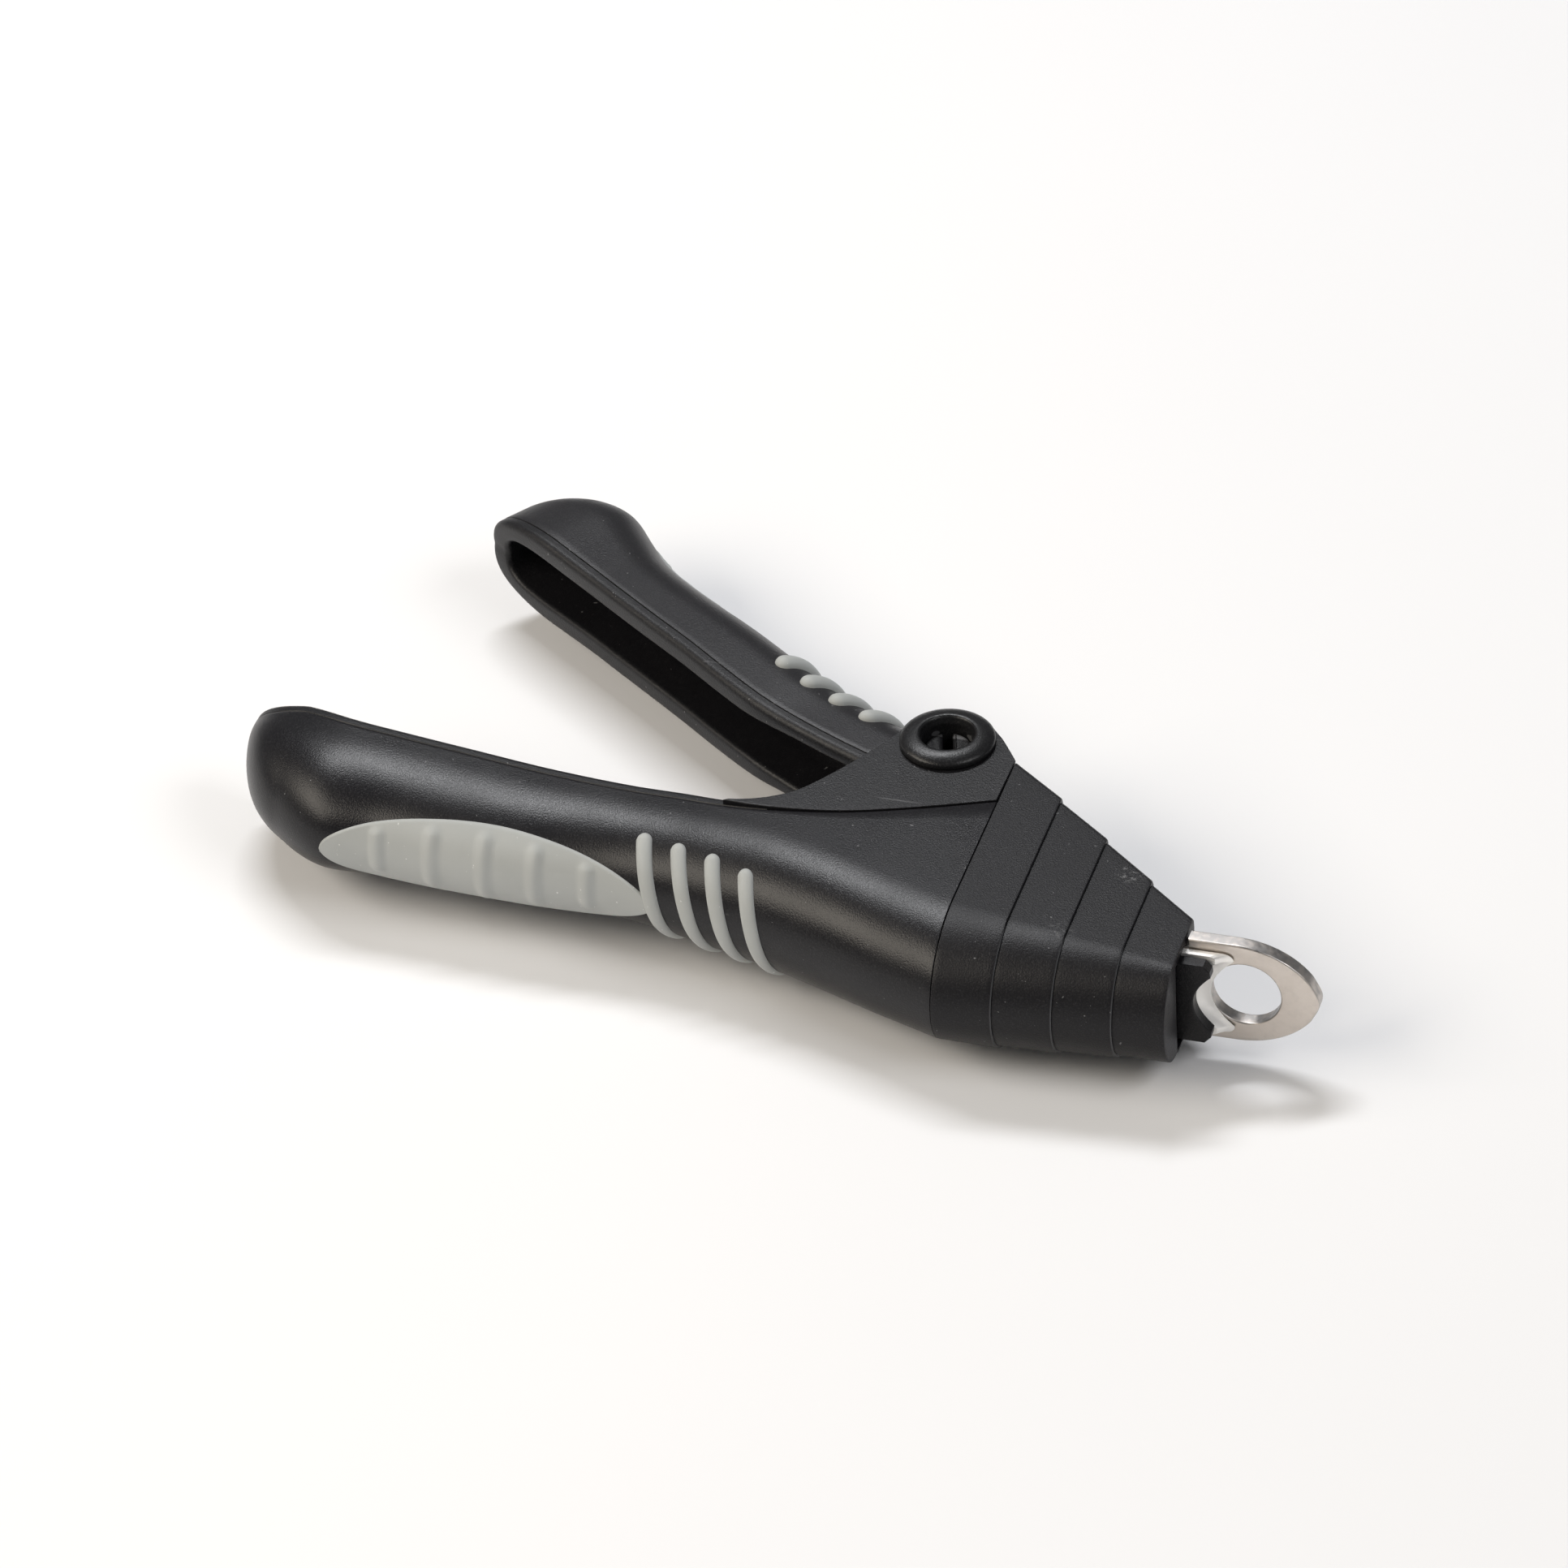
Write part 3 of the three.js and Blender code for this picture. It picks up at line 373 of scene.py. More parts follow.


def moulded_black(name, base, roughness, grain, scuffs=(), dust=0.5, painted_step_highlights=False):
    """Moulded plastic: fine spark-eroded grain, uneven gloss, dust specks, hairlines and scuffs.
    With its last argument set, it paints a highlight on the faces of steps that face along x, on the
    side away from the lever, standing in for their lit sides."""
    material, shader = new_material(name, base, roughness)
    shader.inputs["Specular IOR Level"].default_value = 0.24 if painted_step_highlights else 0.3
    links = material.node_tree.links
    fine = noise(material, 4300, 2.0)
    broad = noise(material, 70, 2.0)
    uneven = combined(material, "ADD", ranged(material, broad, 0.3, 0.7, -0.03, 0.03),
                      ranged(material, fine, 0.3, 0.7, roughness - 0.02, roughness + 0.03))
    specks = ranged(material, noise(material, 1500, 1.0), 0.775, 0.80, 0.0, dust)
    streaks = noise(material, 260, 2.0, (0.06, 1.6, 1.6), (0.3, 0.2, 0.9))
    hair = ranged(material, streaks, 0.735, 0.76, 0.0, 0.22)
    marks = combined(material, "MAXIMUM", specks, hair)
    marks = combined(material, "MAXIMUM", marks, ranged(material, fine, 0.48, 0.72, 0.0, 0.03))
    for centre, radius, amount in scuffs:
        close = near_point(material, centre, radius)
        rubbed = ranged(material, noise(material, 1300, 5.0, roughness=0.7), 0.50, 0.62, 0.0, amount)
        patch = combined(material, "MULTIPLY", close, rubbed)
        marks = combined(material, "MAXIMUM", marks, patch)
    # painted highlight: paler faces where the nose's steps face along x, away from the lever, standing
    # in for their lit sides; the very front face gets less of it
    if painted_step_highlights:
        where = node(material, "ShaderNodeTexCoord")
        facing = node(material, "ShaderNodeSeparateXYZ")
        place = node(material, "ShaderNodeSeparateXYZ")
        links.new(where.outputs["Normal"], facing.inputs["Vector"])
        links.new(where.outputs["Object"], place.inputs["Vector"])
        step = ranged(material, facing.outputs["X"], 0.55, 0.9, 0.0, 0.45)
        away = ranged(material, place.outputs["Y"], -0.0405, -0.0375, 1.0, 0.0)
        behind_front = ranged(material, place.outputs["X"], 0.0425, 0.0429, 1.0, 0.15)
        painted_step_highlight = combined(material, "MULTIPLY", combined(material, "MULTIPLY", step, away), behind_front)
        marks = combined(material, "MAXIMUM", marks, painted_step_highlight)
    # marks here mix real dust, hairlines and scuffs with the painted step highlight
    colour = tint(material, marks, base, DUST_AND_HIGHLIGHT_GREY)
    links.new(colour, shader.inputs["Base Color"])
    links.new(combined(material, "ADD", uneven, combined(material, "MULTIPLY", marks, 0.25)),
              shader.inputs["Roughness"])
    bump(material, shader, fine, grain, 0.6)
    return material


def soft_grey():
    """Overmoulded soft rubber: matt, slightly mottled, with a faint sheen and a little lint."""
    base = (0.385, 0.398, 0.389)
    material, shader = new_material("soft_grey", base, 0.62)
    links = material.node_tree.links
    mottled = ranged(material, noise(material, 130, 4.0), 0.3, 0.7, 0.0, 0.5)
    lint = ranged(material, noise(material, 1700, 1.0), 0.76, 0.79, 0.0, 1.0)
    colour = tint(material, mottled, base, (0.342, 0.355, 0.347))
    speckled = tint(material, lint, (0.62, 0.63, 0.62), colour)
    invert = combined(material, "SUBTRACT", 1.0, lint)
    links.new(invert, speckled.node.inputs["Factor"])
    links.new(speckled, shader.inputs["Base Color"])
    shader.inputs["Sheen Weight"].default_value = 0.12
    shader.inputs["Sheen Roughness"].default_value = 0.5
    shader.inputs["Subsurface Weight"].default_value = 0.04
    shader.inputs["Subsurface Radius"].default_value = (0.001, 0.001, 0.001)
    bump(material, shader, noise(material, 2600, 3.0), 0.00003, 0.35)
    return material


def worked_steel(name, base, roughness, grain, stretch=(1, 1, 1), line_scale=1500, edge=None,
                 stained=0.3, metallic=1.0):
    """Stainless steel with its finishing marks drawn out along one direction by stretch.
    edge is the duller colour of a plate's sheared sides, which don't face along y."""
    material, shader = new_material(name, base, roughness, metallic)
    links = material.node_tree.links
    lines = noise(material, line_scale, 4.0, stretch)
    cloud = noise(material, 160, 3.0)
    drawn = ranged(material, lines, 0.25, 0.75, roughness - 0.06, roughness + 0.08)
    rough = combined(material, "ADD", drawn, ranged(material, cloud, 0.3, 0.7, -0.05, 0.06))
    links.new(rough, shader.inputs["Roughness"])
    stain = ranged(material, noise(material, 900, 4.0), 0.45, 0.75, 0.0, stained)
    colour = tint(material, stain, base, tuple(c * 0.8 for c in base))
    if edge:
        where = node(material, "ShaderNodeTexCoord")
        split = node(material, "ShaderNodeSeparateXYZ")
        links.new(where.outputs["Normal"], split.inputs["Vector"])
        across = combined(material, "ABSOLUTE", split.outputs["Y"], 0.0)
        side = ranged(material, across, 0.55, 0.9, 0.85, 0.0)
        torn = ranged(material, noise(material, 700, 4.0), 0.35, 0.6, 0.45, 1.0)
        dull = tint(material, combined(material, "MULTIPLY", side, torn), base, edge)
        links.new(colour, [s for s in dull.node.inputs if s.type == "RGBA"][0])
        colour = dull
    links.new(colour, shader.inputs["Base Color"])
    bump(material, shader, lines, grain, 0.5)
    return material


BLADE_DIFFUSE = 0.55  # non-metallic share of the blade's steel, which pales its ground bevel
# Each scuff: centre and radius in metres, strength.
NOSE_SCUFFS = [
    ((0.0324, -0.0221, 0.0212), 0.0028, 0.75),
    ((0.0262, -0.0372, 0.0205), 0.0028, 0.45),
]
BLACK_SHELL = moulded_black("black_shell", (0.0065, 0.0062, 0.0078), 0.32, 0.00006)
# painted light: the lever's black is paler than the fixed shell's black, standing in for the lever
# catching more light
BLACK_LEVER_PAINTED_LIGHTER = moulded_black("black_lever_painted_lighter", (0.0150, 0.0146, 0.0168), 0.36, 0.00006)
BLACK_NOSE = moulded_black("black_nose", (0.0075, 0.0072, 0.0088), 0.42, 0.00008, NOSE_SCUFFS,
                           dust=0.4, painted_step_highlights=True)
BLACK_CORE = moulded_black("black_core", (0.0066, 0.0064, 0.0078), 0.40, 0.00008)
GLOSS_BLACK = moulded_black("gloss_black", (0.0080, 0.0080, 0.0088), 0.33, 0.00005, dust=0.3)
SOFT_GREY = soft_grey()
RING_STEEL = worked_steel("ring_steel", (0.68, 0.622, 0.57), 0.38, 0.000012,
                          edge=(0.36, 0.35, 0.345))
BLADE_STEEL = worked_steel("blade_steel", (0.97, 0.955, 0.93), 0.33, 0.000001, (0.08, 0.3, 1), 2600,
                           stained=0.05, metallic=1 - BLADE_DIFFUSE)
SCREW_STEEL = worked_steel("screw_steel", (0.50, 0.50, 0.50), 0.34, 0.000006)
SPRING_STEEL = worked_steel("spring_steel", (0.42, 0.42, 0.43), 0.30, 0.000004, (1, 1, 0.1))


# ------------------------------------------------------------------ handles
LIP_HEIGHT = 2.0  # of the channel's lip above the shell's rim
LIP_INSET = 0.04  # of the lip's outside from the shell's
PARTING_LINE = 0.06  # left open at the rim
INNER_SQUARE = 1.7  # bluntness of the channel's closed end


def shell(name, handle, end_x, material, node_name, body):
    """Outer skin of a handle, with a rounded tail at end_x."""
    x, rim, back, half, rnd = stations(handle, lambda v: 0 * v, end_x - 0.3)
    tail = [(end_x - 0.08, 0.02), (end_x - 0.02, 0.08), (end_x, 0.2), (end_x, 1.2)]
    for at, pull in tail:
        f = form_at(handle, np.array([at]), np.array([0.0]), pull)
        x = np.append(x, at)
        rim, back, half, rnd = (np.append(a, b) for a, b in zip((rim, back, half, rnd), f))
    lead = [(0.0, 1.3), (0.0, 0.16), (0.05, 0.05), (0.16, 0.0)]
    skin = Skin().grid(placed(handle, wrap_sections(x, rim, back, half, rnd, lead)))
    return finish_piece(name, skin, material, body, (node_name,), weighted=False)


def channel(skin, handle, lip_end, end_x):
    """Inside of a handle's channel and its rounded lip."""
    inset = channel_inset(handle)
    x, rim, back, half, rnd = stations(handle, inset, end_x, INNER_SQUARE)
    skin.grid(placed(handle, wrap_sections(x, rim + LIP_HEIGHT - 0.8, back, half, rnd)))
    rails = [stations(handle, lambda v: 0 * v + LIP_INSET, lip_end),
             stations(handle, inset, lip_end, INNER_SQUARE)]
    outer, inner = (np.stack([r[0], r[1], r[3]], 1) for r in rails)
    both = []
    for rail in (outer, inner):
        low = rail * (1, 1, -1)
        both.append(np.concatenate([rail[::-1], low[1:]]))
    across = both[1] - both[0]
    across[:, 1] = 0
    width = np.linalg.norm(across, axis=1, keepdims=True)
    across /= width
    r_out, r_in = 1.15, 0.8
    profile = [(0.5, PARTING_LINE), (0.1, PARTING_LINE), (0.0, PARTING_LINE + 0.1), (0.0, 0.5),
               (0.0, LIP_HEIGHT - r_out)]
    profile += [(r_out * (1 - math.cos(t)), LIP_HEIGHT - r_out * (1 - math.sin(t)))
                for t in np.linspace(0.15, 1.57, 8)]
    rows = [both[0] + across * s + np.array([0, h, 0]) for s, h in profile]
    crest = np.array([0, LIP_HEIGHT + 0.02, 0])
    rows += [both[0] + across * (r_out + (width - r_out - r_in) * m) + crest for m in (0.35, 0.7)]
    for t in np.linspace(0, 1.57, 7):
        s = width - r_in * (1 - math.sin(t))
        rows.append(both[0] + across * s + np.array([0, LIP_HEIGHT - r_in * (1 - math.cos(t)), 0]))
    skin.grid(placed(handle, np.stack(rows)))


def cheek_outline():
    """Plate round the pivot: along the shell's seam, up past the nose and over the pivot's lobe."""
    seam = [(x, float(hermite(FIXED["table"], 1, x)) + GAP) for x in np.linspace(-27, 10.3, 46)]
    lobe = arc(0, 0, 7.2, 0.64, math.pi - 0.3, 40)
    edge = bezier(lobe[-1], (-8.2, -1.2), (-12.6, -9.4), (-17.0, -14.9))
    tail = bezier(edge[-1], (-19.6, -17.6), (-23.2, -19.2), (-27.0, -19.7))
    corner = [(10.42, -2.9), (10.4, -1.9), (9.6, -0.7), (8.3, 1.2), (7.3, 2.6)]
    return seam + corner + lobe + edge + tail[:-1]


def both_sides(skin, outlines, low, high, bevel):
    """The same plate above and below the mid-plane."""
    skin.mesh(plate(outlines, low, high, bevel))
    skin.mesh(plate(outlines, -high, -low, bevel))


def disc(cx, cy, r, steps):
    return arc(cx, cy, r, 0, FULL_TURN, steps)[:-1]


def tapered(a, ra, b, rb, steps=20):
    """Link with round ends, of radius ra about a and rb about b."""
    angle = math.atan2(b[1] - a[1], b[0] - a[0])
    at_b = arc(*b, rb, angle - math.pi / 2, angle + math.pi / 2, steps)
    return at_b + arc(*a, ra, angle + math.pi / 2, angle + 1.5 * math.pi, steps)


PIVOT_HOLE = arc(0, 0, 4.35, FULL_TURN, 0, 73)[:-1]
LEVER_ARM = 36.0  # from the pivot to the drive pin


def fixed_frame():
    skin = Skin()
    channel(skin, FIXED, -20.5, 14.0)
    both_sides(skin, [cheek_outline(), PIVOT_HOLE], 7.5, 10.25, 0.14)
    skin.mesh(plate([disc(-12.5, -14, 2, 33)], -7.6, 7.6, 0.1))
    return finish_piece("fixed_frame_visual", skin, BLACK_CORE, "fixed_side",
                        ("fixed_frame",))


def lever_frame():
    skin = Skin()
    channel(skin, LEVER, -7.4, -7.0)
    pin = np.array([-2.5, -math.sqrt(LEVER_ARM**2 - 2.5**2)])

    def along(d):
        return tuple(pin * d / LEVER_ARM)

    def local(x, y):
        return tuple(placed(LEVER, np.array([x, y, 0.0]))[:2])

    both_sides(skin, [tapered((0, 0), 7.0, along(12.5), 3.6), PIVOT_HOLE], 3.95, 7.0, 0.25)
    both_sides(skin, [tapered(local(-15.5, 4.7), 3.0, local(-8.6, 2.7), 3.4)], 3.95, 5.6, 0.2)
    both_sides(skin, [tapered(along(11.6), 3.4, tuple(pin), 2.1)], 2.2, 4.3, 0.2)
    skin.mesh(plate([disc(*along(16), 2.6, 33)], -4.3, 4.3, 0.2))
    skin.mesh(plate([disc(*local(-14.6, 1.7), 1.5, 25)], -4.0, 4.0, 0.1))
    return finish_piece("lever_frame_visual", skin, BLACK_CORE, "lever",
                        ("lever_frame",))


# ------------------------------------------------------------------ soft inlays
FINE_WELD = 0.0005


def surface(handle, x, turn):
    """Point of a handle's rounded back, turn radians round from its middle."""
    tip_x, round_x, _ = handle["tip"]
    along = np.clip((round_x - x) / (round_x - tip_x), 0, 0.999)
    _, back, half, rnd = form_at(handle, x, along, 0)
    y = back + rnd * (1 - power(np.cos(turn)))
    return np.stack([x, y, half * power(np.sin(turn))], axis=-1)


def turn_for(handle, x, z):
    """Turn round the back at which its surface stands at height z from the mid-plane."""
    s = np.clip(np.abs(z) / hermite(handle["table"], 3, x), 0, 0.995) ** (1 / BLUNT)
    return np.sign(z) * np.arcsin(s)


def raised(handle, x, turn, lift):
    """Points standing lift above a handle's back, along its normal."""
    du = surface(handle, x + 0.05, turn) - surface(handle, x - 0.05, turn)
    dv = surface(handle, x, turn + 0.01) - surface(handle, x, turn - 0.01)
    normal = np.cross(du, dv)
    normal /= np.linalg.norm(normal, axis=-1, keepdims=True)
    sine, cosine = np.sin(turn)[..., None], np.cos(turn)[..., None]
    outward = np.sign(normal[..., 2:3] * sine - normal[..., 1:2] * cosine)
    return surface(handle, x, turn) + normal * outward * lift[..., None]


def rounded_edge(distance, radius, low, high):
    """Height that rises from low at an edge to high at radius from it, as a quarter round."""
    f = np.clip(distance / radius, 0, 1)
    return low + (high - low) * np.sqrt(1 - (1 - f) ** 2)


def grip_pad(name, handle, x0, x1, half, z_mid, ribs, node_name, body):
    """Oval pad on a handle's back, blunter at x0. ribs holds each rib's x and half-length."""
    t = np.sin(np.linspace(-math.pi / 2, math.pi / 2, 170))[:, None]
    v = np.sin(np.linspace(-math.pi / 2, math.pi / 2, 81))[None, :]
    width = np.maximum(half * (1 - t**2) ** np.where(t < 0, 0.5, 0.62), 1e-4)
    x = (x0 + x1) / 2 + t * (x1 - x0) / 2 + 0 * v
    z = z_mid + v * width
    distance = (1 - np.abs(v)) * width
    lift = rounded_edge(distance, 0.5, -0.45, 0.34)
    for rib_x, rib_half in ribs:
        off = np.hypot(x - rib_x, np.maximum(0, np.abs(v * width - 0.9) - rib_half) * 0.8)
        lift += 0.5 * np.clip(1 - (off / 1.4) ** 2, 0, 1) ** 1.5 * ease(distance, 0, 1.8, 0, 1)
    skin = Skin().grid(placed(handle, raised(handle, x, turn_for(handle, x, z), lift)))
    return finish_piece(name, skin, SOFT_GREY, body, (node_name,), 60, FINE_WELD, False)


def grip_ridge(name, handle, x, girth, top, foot, lean, r, height, node_name, body):
    """Half-round bar with round ends, leaning as it wraps round a back of radius girth."""
    start, end = np.array([x, top]), np.array([x + lean, foot])
    length = float(np.linalg.norm(end - start))
    d = (end - start) / length
    side = np.array([-d[1], d[0]])
    ends = r * np.sin(np.linspace(0, math.pi / 2, 12, endpoint=False))
    s = np.concatenate([
        [0.001 - r], -ends[::-1][:-1], np.linspace(0, length, 60), length + ends[1:],
        [length + r - 0.001],
    ])[:, None]
    w = np.sin(np.linspace(-math.pi / 2, math.pi / 2, 25))[None, :]
    over = np.maximum(0, np.maximum(-s, s - length))
    reach = np.sqrt(np.maximum(r * r - over**2, 1e-6))
    off = w * reach
    centre = start + d * s
    px = centre[:, :1] + side[0] * off
    pz = centre[:, 1:] + side[1] * off
    dome = np.sqrt(np.clip(1 - (off**2 + over**2) / r**2, 0, 1))
    lift = -0.4 + (height + 0.4) * dome**0.8
    skin = Skin().grid(placed(handle, raised(handle, px, pz / girth, lift)))
    return finish_piece(name, skin, SOFT_GREY, body, (node_name,), 70, FINE_WELD, False)


def inlays():
    ribs = [(-75.1, 2.2), (-66.9, 3.4), (-59.0, 3.8), (-51.4, 3.4), (-43.7, 2.2)]
    grip_pad("fixed_pad_visual", FIXED, -83.8, -33.6, 6.5, -0.1, ribs, "fixed_grip_pad", "fixed_side")
    ribs = [(-70.5, 0.4), (-63.5, 0.9), (-56.6, 1.0), (-49.7, 0.9), (-42.8, 0.4)]
    grip_pad("lever_pad_visual", LEVER, -77.0, -37.0, 3.5, 0.0, ribs, "lever_grip_pad", "lever")
    fixed_ridges = [(-36.2, 8.9, 4.6), (-30.8, 8.5, 5.0), (-25.4, 8.2, 4.5), (-20.0, 7.4, 4.1)]
    for i, (x, top, lean) in enumerate(fixed_ridges):
        n = i + 1
        grip_ridge(f"fixed_ridge_{n}_visual", FIXED, x, 9.3, top, -8.8, lean, 1.25, 0.68,
                   f"fixed_grip_ridge_{n}", "fixed_side")
        grip_ridge(f"lever_ridge_{n}_visual", LEVER, -33.9 + 6.0 * i, 7.1, 8.7, -8.7, 2.6, 1.55, 1.1,
                   f"lever_grip_ridge_{n}", "lever")


# ------------------------------------------------------------------ nose
# Rows: x, far y, near y, half-thickness, depth of the rounded near side.
NOSE = np.array([
    (10.45, -1.45, -47.7, 10.15, 12.7), (18.95, -8.4, -47.2, 9.7, 10.9),
    (27.35, -15.4, -46.6, 9.2, 9.15), (35.7, -22.6, -45.95, 8.65, 7.4),
    (43.2, -29.2, -45.5, 8.2, 5.65),
])
NOSE_EDGES = [10.6, 18.95, 27.35, 35.7, 43.2]  # where the steps start and end
UNDERSIDE_LIFT = 1.2  # how much shallower the lower side is at the front


def nose_section(x, grow):
    """Outline of the nose at x, moved outwards by grow."""
    far, near, half, depth = (np.interp(x, NOSE[:, 0], NOSE[:, k]) for k in (1, 2, 3, 4))
    top, back, h, r = far + grow, near - grow, half + grow, 1.3
    round_depth = depth + grow
    a = np.linspace(-math.pi / 2, math.pi / 2, 61)
    under = h - np.interp(x, (20, 43.2), (0, UNDERSIDE_LIFT))
    pts = [(back + round_depth * (1 - math.cos(t)), (h if t > 0 else under) * math.sin(t))
           for t in a]
    start = back + round_depth
    pts += [(start + (top - r - start) * s, h) for s in np.linspace(0, 1, 12)[1:]]
    pts += arc(top - r, h - r, r, math.pi / 2, 0, 8)[1:]
    pts += [(top, r - under + (h + under - 2 * r) * s) for s in np.linspace(1, 0, 8)[1:-1]]
    pts += arc(top - r, r - under, r, 0, -math.pi / 2, 8)
    pts += [(top - r + (start - top + r) * s, -under) for s in np.linspace(0, 1, 12)[1:-1]]
    return [(x, y, z) for y, z in pts]


def nose():
    seam = ((10.5, -1.2), (10.5, -0.12), (10.54, -0.04), (10.66, 0))
    rows = [nose_section(x, grow) for x, grow in seam]
    for i in range(4):
        start, end = NOSE_EDGES[i], NOSE_EDGES[i + 1]
        if i:
            rows += [nose_section(start + 0.01, -0.06), nose_section(start + 0.16, -0.02)]
        for t in np.linspace(0.06, 1, 12):
            x = start + 0.3 + (end - 0.32 - start - 0.3) * t
            rows.append(nose_section(x, 0.33 * t))
        rows += [nose_section(end - 0.1, 0.31), nose_section(end, 0.22 if i < 3 else 0.12)]
    front = np.array(rows[-1])
    centre, reach = np.array([-35.0, 0.0]), np.array([4.2, 7.2])
    away = front[:, 1:] - centre
    scale = np.min(reach / np.maximum(np.abs(away), 1e-6), axis=1, keepdims=True)

    def mouth(x, grow):
        """Opening in the nose's front, on the same rays as its outline."""
        at = centre + away * scale * (1 + grow / np.linalg.norm(away * scale, axis=1, keepdims=True))
        return np.column_stack([np.full(len(at), x), at])

    rows = [np.array(r) for r in rows]
    lip = mouth(43.2, 0.25)
    rows += [front * 0.35 + lip * 0.65, lip, mouth(43.12, 0.07), mouth(42.9, 0), mouth(39.0, 0)]
    rows += [np.array(nose_section(x, -1.2)) for x in (38.9, *NOSE_EDGES[3::-1])]
    skin = Skin().grid(np.stack(rows), closed=True)
    return finish_piece("nose_cap_visual", skin, BLACK_NOSE, "fixed_side",
                        ("nose_cap",), 28)


# ------------------------------------------------------------------ ring, blade and carrier
def ring():
    top = [(17, 4.8), (31, 4.8), (31, 6.8), (43.5, 6.8), (43.5, 8.15), (50, 8.15)]
    bow = bezier((50, 8.15), (56.2, 8.15), (60.9, 4.6), (62.3, 0.0), 40)
    tip = [(x, z) for x, z in bow if x < 60.7]
    nib = bezier(tip[-1], (61.45, 1.7), (61.95, 0.9), (61.95, 0.0), 10)
    half = top + tip + nib
    outline = half + [(x, -z) for x, z in half[::-1][1:]]
    hole = arc(51.5, 0, 5.0, FULL_TURN, 0, 97)[:-1]
    screws = [arc(x, 0, 1.6, FULL_TURN, 0, 25)[:-1] for x in (20.5, 27)]
    skin = Skin().mesh(plate([outline[::-1], hole, *screws], -33.7, -31.4, 0.28, upright=True))
    return finish_piece("cutting_ring_visual", skin, RING_STEEL, "fixed_side",
                        ("cutting_ring",))


def blade():
    """Blade with a hollow-ground edge that slopes back from the ring's face."""
    skin = Skin()
    z = np.linspace(-6.75, 6.75, 91)
    out = np.clip(np.abs(z) / 5.6, 0, 1)
    beyond = np.clip((np.abs(z) - 5.6) / 1.15, 0, 1)
    edge = 46.7 + 3.3 * out**2 - 1.5 * (1 - np.sqrt(1 - beyond**2))
    slope = 2.35 - 0.75 * beyond**2
    back_x, far, near = 31.2, -33.95, -35.05

    def row(x, y):
        return np.column_stack([x + 0 * z, y + 0 * z, z])

    rows = [row(back_x, far - 0.1), row(back_x, near), row(edge - slope - 0.06, near)]
    for t in np.linspace(0, 1, 9):
        dip = 0.22 * math.sin(math.pi * t)
        rows.append(row(edge - slope * (1 - t), near + (far - 0.06 - near) * t + dip))
    rows += [row(edge, far), row(back_x, far)]
    skin.grid(np.stack(rows))
    for k in (0, -1):
        skin.cap([row[k] for row in rows[1:]])
    stem = [(23, -4.8), (31.4, -4.8), (31.4, 4.8), (23, 4.8)]
    skin.mesh(plate([stem], near, far, 0.1, upright=True))
    return finish_piece("blade_visual", skin, BLADE_STEEL, "blade_slide",
                        ("blade",), 20)


def carrier():
    notch = [(47.5, -4.7)]
    for t in np.linspace(0, 1, 25)[1:]:
        notch.append(((1 - t) ** 2 * 47.5 + 2 * (1 - t) * t * 42.5 + t * t * 47.5, -4.7 + 9.4 * t))
    outline = [(4, -4.8), (31.2, -4.8), (31.2, -6.6), (46.5, -6.6), (47.4, -5.6), *notch,
               (47.4, 5.6), (46.5, 6.6), (31.2, 6.6), (31.2, 4.8), (4, 4.8)]
    skin = Skin().mesh(plate([outline], -37.3, -35.3, 0.22, upright=True))
    skin.mesh(plate([[(-1, -1.9), (5, -1.9), (5, 1.9), (-1, 1.9)]], -37.3, -35.3, 0.1, upright=True))
    yoke = [(-6, -37.96), (1, -37.96), (1, -32.8), (-6, -32.8)]
    slot = [(-4.0, -37.36), (-4.0, -33.4), (-1.0, -33.4), (-1.0, -37.36)]
    skin.mesh(plate([yoke, slot], -1.9, 1.9, 0.1))
    return finish_piece("blade_carrier_visual", skin, BLACK_CORE, "blade_slide",
                        ("blade_carrier",))


# ------------------------------------------------------------------ pivot and spring
def pivot():
    crown = [(6.5, 10.34), (6.74, 10.4), (6.8, 10.55), (6.8, 10.9), (6.74, 11.12), (6.56, 11.34),
             (6.2, 11.56), (5.7, 11.77), (5.15, 11.91), (4.6, 11.99), (4.25, 12.0), (4.05, 11.93),
             (3.92, 11.78), (3.82, 11.5), (3.72, 11.2), (3.62, 11.0), (3.56, 10.7)]
    profile = [(4.15, -9.7), (4.15, 10.34), *crown, (3.56, 6), (3.56, -9.7), (4.15, -9.7)]
    skin = Skin().grid(lathe(profile), closed=True)
    finish_piece("pivot_barrel_visual", skin, GLOSS_BLACK, "fixed_side",
                 ("pivot_barrel",), 50)
    pin_r, split_half, split_turn = 3.36, 0.7, 0.29
    head = [(0.0, -12.0), (5.6, -12.0), (6.1, -11.93), (6.5, -11.7), (6.75, -11.3), (6.8, -10.9),
            (6.8, -10.55), (6.7, -10.38), (6.5, -10.34), (pin_r, -10.34), (pin_r, -1.0), (0.0, -1.0)]
    skin = Skin().grid(lathe(head), closed=True)
    limit = math.acos(split_half / pin_r)
    for side in (0, math.pi):
        prong = arc(0, 0, pin_r, side + split_turn - limit, side + split_turn + limit, 30)
        skin.mesh(plate([prong], -1.2, 9.6, 0.55))
    finish_piece("pivot_pin_visual", skin, GLOSS_BLACK, "fixed_side",
                 ("pivot_pin",), 40)


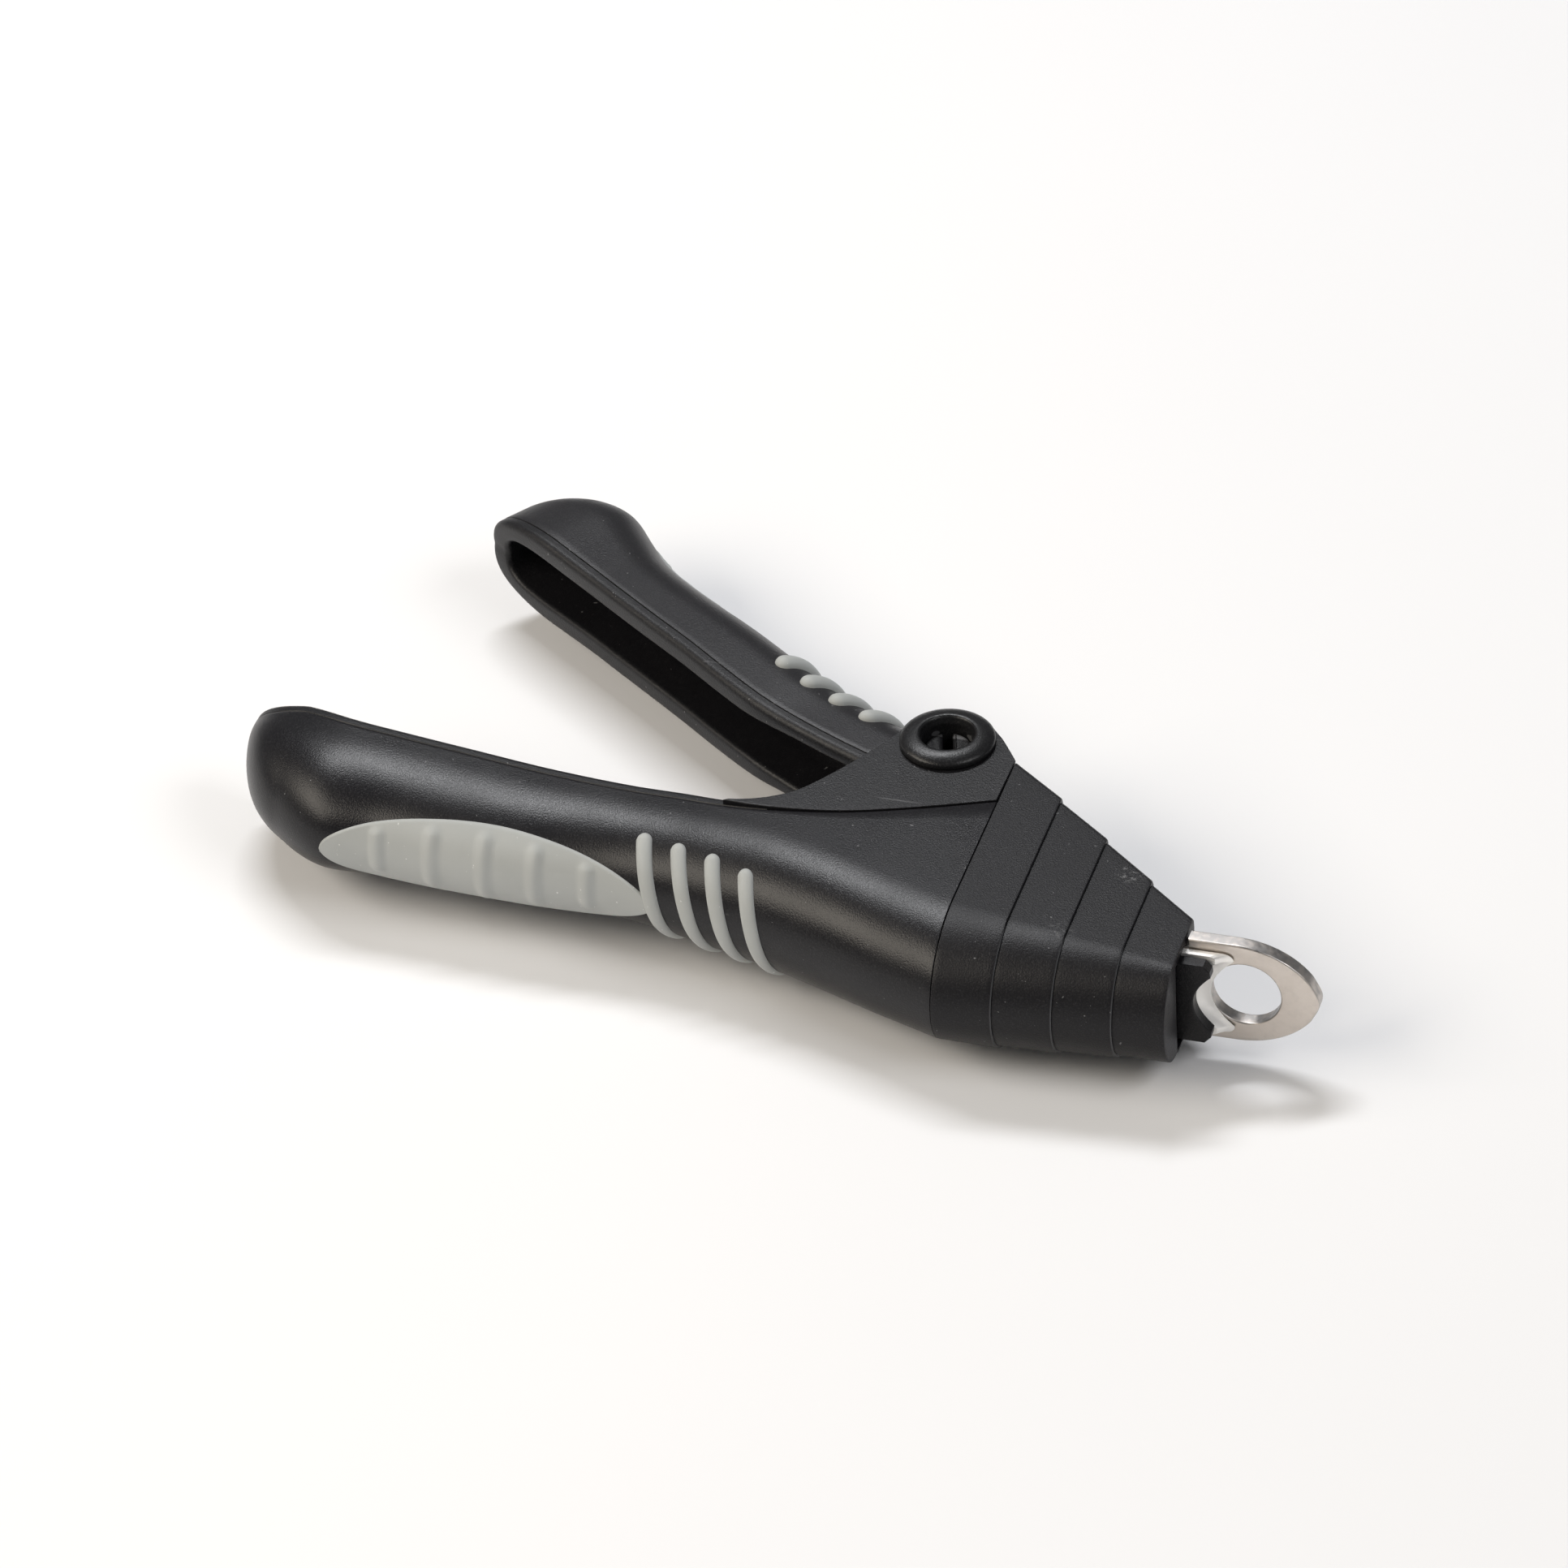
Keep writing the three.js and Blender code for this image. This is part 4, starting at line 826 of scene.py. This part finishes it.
def spring():
    """Round-wire torsion spring, a coil with a straight leg at each end."""
    mean, wire, pitch, leg = 5.45, 0.7, 1.6, 14.0
    start, last = 5.093, math.radians(93)
    sweep = 2 * math.pi * 4 + last - start  # radians of wire in the coil
    s = np.concatenate([np.linspace(-leg, 0, 30)[:-1], np.linspace(0, sweep * mean, 300),
                        np.linspace(sweep * mean, sweep * mean + leg, 30)[1:]])
    on = np.clip(s, 0, sweep * mean)
    a = start + on / mean
    over = s - on
    z = pitch * (on / mean - sweep / 2) / (2 * math.pi)
    line = np.stack([mean * np.cos(a) - over * np.sin(a), mean * np.sin(a) + over * np.cos(a), z], 1)
    tangent = np.gradient(line, axis=0)
    tangent /= np.linalg.norm(tangent, axis=1, keepdims=True)
    side = np.cross(tangent, [0, 0, 1.0])
    side /= np.linalg.norm(side, axis=1, keepdims=True)
    up = np.cross(side, tangent)
    t = np.linspace(0, FULL_TURN, 16, endpoint=False)
    cosine, sine = np.cos(t)[None, :, None], np.sin(t)[None, :, None]
    tube = line[:, None] + wire * (side[:, None] * cosine + up[:, None] * sine)
    skin = Skin().grid(tube, closed=True).cap(tube[0]).cap(tube[-1])
    obj = finish_piece("torsion_spring_visual", skin, SPRING_STEEL, None,
                       ("torsion_spring",), 40, weighted=False)
    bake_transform(obj)


# ------------------------------------------------------------------ CAD nodes that stay
def keep_node(name, material, bevel):
    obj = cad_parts[name]
    obj.data.materials.clear()
    obj.data.materials.append(material)
    edge = obj.modifiers.new("edge", "BEVEL")
    edge.width = bevel * MM
    edge.segments = 2
    edge.limit_method = "ANGLE"
    edge.angle_limit = math.radians(40)


# ------------------------------------------------------------------ studio
def area_light(name, place, aim, size, power_w, colour=(1, 1, 1)):
    data = bpy.data.lights.new(name, "AREA")
    data.shape = "RECTANGLE"
    data.size, data.size_y = size
    data.energy = power_w
    data.color = colour
    obj = bpy.data.objects.new(name, data)
    obj.location = place
    obj.rotation_euler = (Vector(aim) - Vector(place)).to_track_quat("-Z", "Y").to_euler()
    bpy.context.scene.collection.objects.link(obj)


def studio():
    material, shader = new_material("studio_floor", (0.84, 0.84, 0.85), 0.7)
    links = material.node_tree.links
    links.new(tint(material, noise(material, 6, 2.0), (0.85, 0.85, 0.86), (0.82, 0.82, 0.83)),
              shader.inputs["Base Color"])
    mesh = bpy.data.meshes.new("floor")
    half = 3.0
    corners = [(-half, -half, 0), (half, -half, 0), (half, half, 0), (-half, half, 0)]
    mesh.from_pydata(corners, [], [(0, 1, 2, 3)])
    mesh.materials.append(material)
    floor = bpy.data.objects.new("floor", mesh)
    bpy.context.scene.collection.objects.link(floor)
    world = bpy.data.worlds.new("studio")
    world.use_nodes = True
    world.node_tree.nodes["Background"].inputs["Color"].default_value = (0.97, 0.98, 1.0, 1)
    world.node_tree.nodes["Background"].inputs["Strength"].default_value = 0.13
    bpy.context.scene.world = world
    centre = (-0.02, -0.01, 0.01)
    area_light("back_top", (-0.345, 0.552, 1.035), centre, (0.62, 0.14), 8.8, (0.97, 0.98, 1.0))
    area_light("left_key", (-0.76, -0.48, 0.70), centre, (0.95, 0.5), 9.5, (1.0, 0.92, 0.80))
    area_light("right_fill", (0.9, -0.3, 1.0), centre, (0.7, 0.5), 5.5)
    camera = bpy.data.cameras.new("camera")
    camera.lens = 223.6
    camera.sensor_width = 36.0
    camera.clip_start, camera.clip_end = 0.05, 20.0
    view = bpy.data.objects.new("camera", camera)
    view.location = (0.3239065, -1.05399273, 0.83225934)
    view.rotation_euler = Euler([math.radians(v) for v in (53.45959, 2.50033, 16.44127)], "XYZ")
    bpy.context.scene.collection.objects.link(view)
    bpy.context.scene.camera = view
    bpy.context.scene.view_settings.view_transform = "Standard"


shell("fixed_shell_visual", FIXED, 10.4, BLACK_SHELL, "fixed_shell", "fixed_side")
shell("lever_shell_visual", LEVER, -9.0, BLACK_LEVER_PAINTED_LIGHTER, "lever_shell", "lever")
fixed_frame()
lever_frame()
inlays()
nose()
ring()
blade()
carrier()
pivot()
spring()
keep_node("guide_block", BLACK_CORE, 0.2)
keep_node("drive_pin", SCREW_STEEL, 0.15)
for screw in ("ring_screw_1", "ring_screw_2", "blade_screw_1", "blade_screw_2"):
    keep_node(screw, SCREW_STEEL, 0.12)
studio()
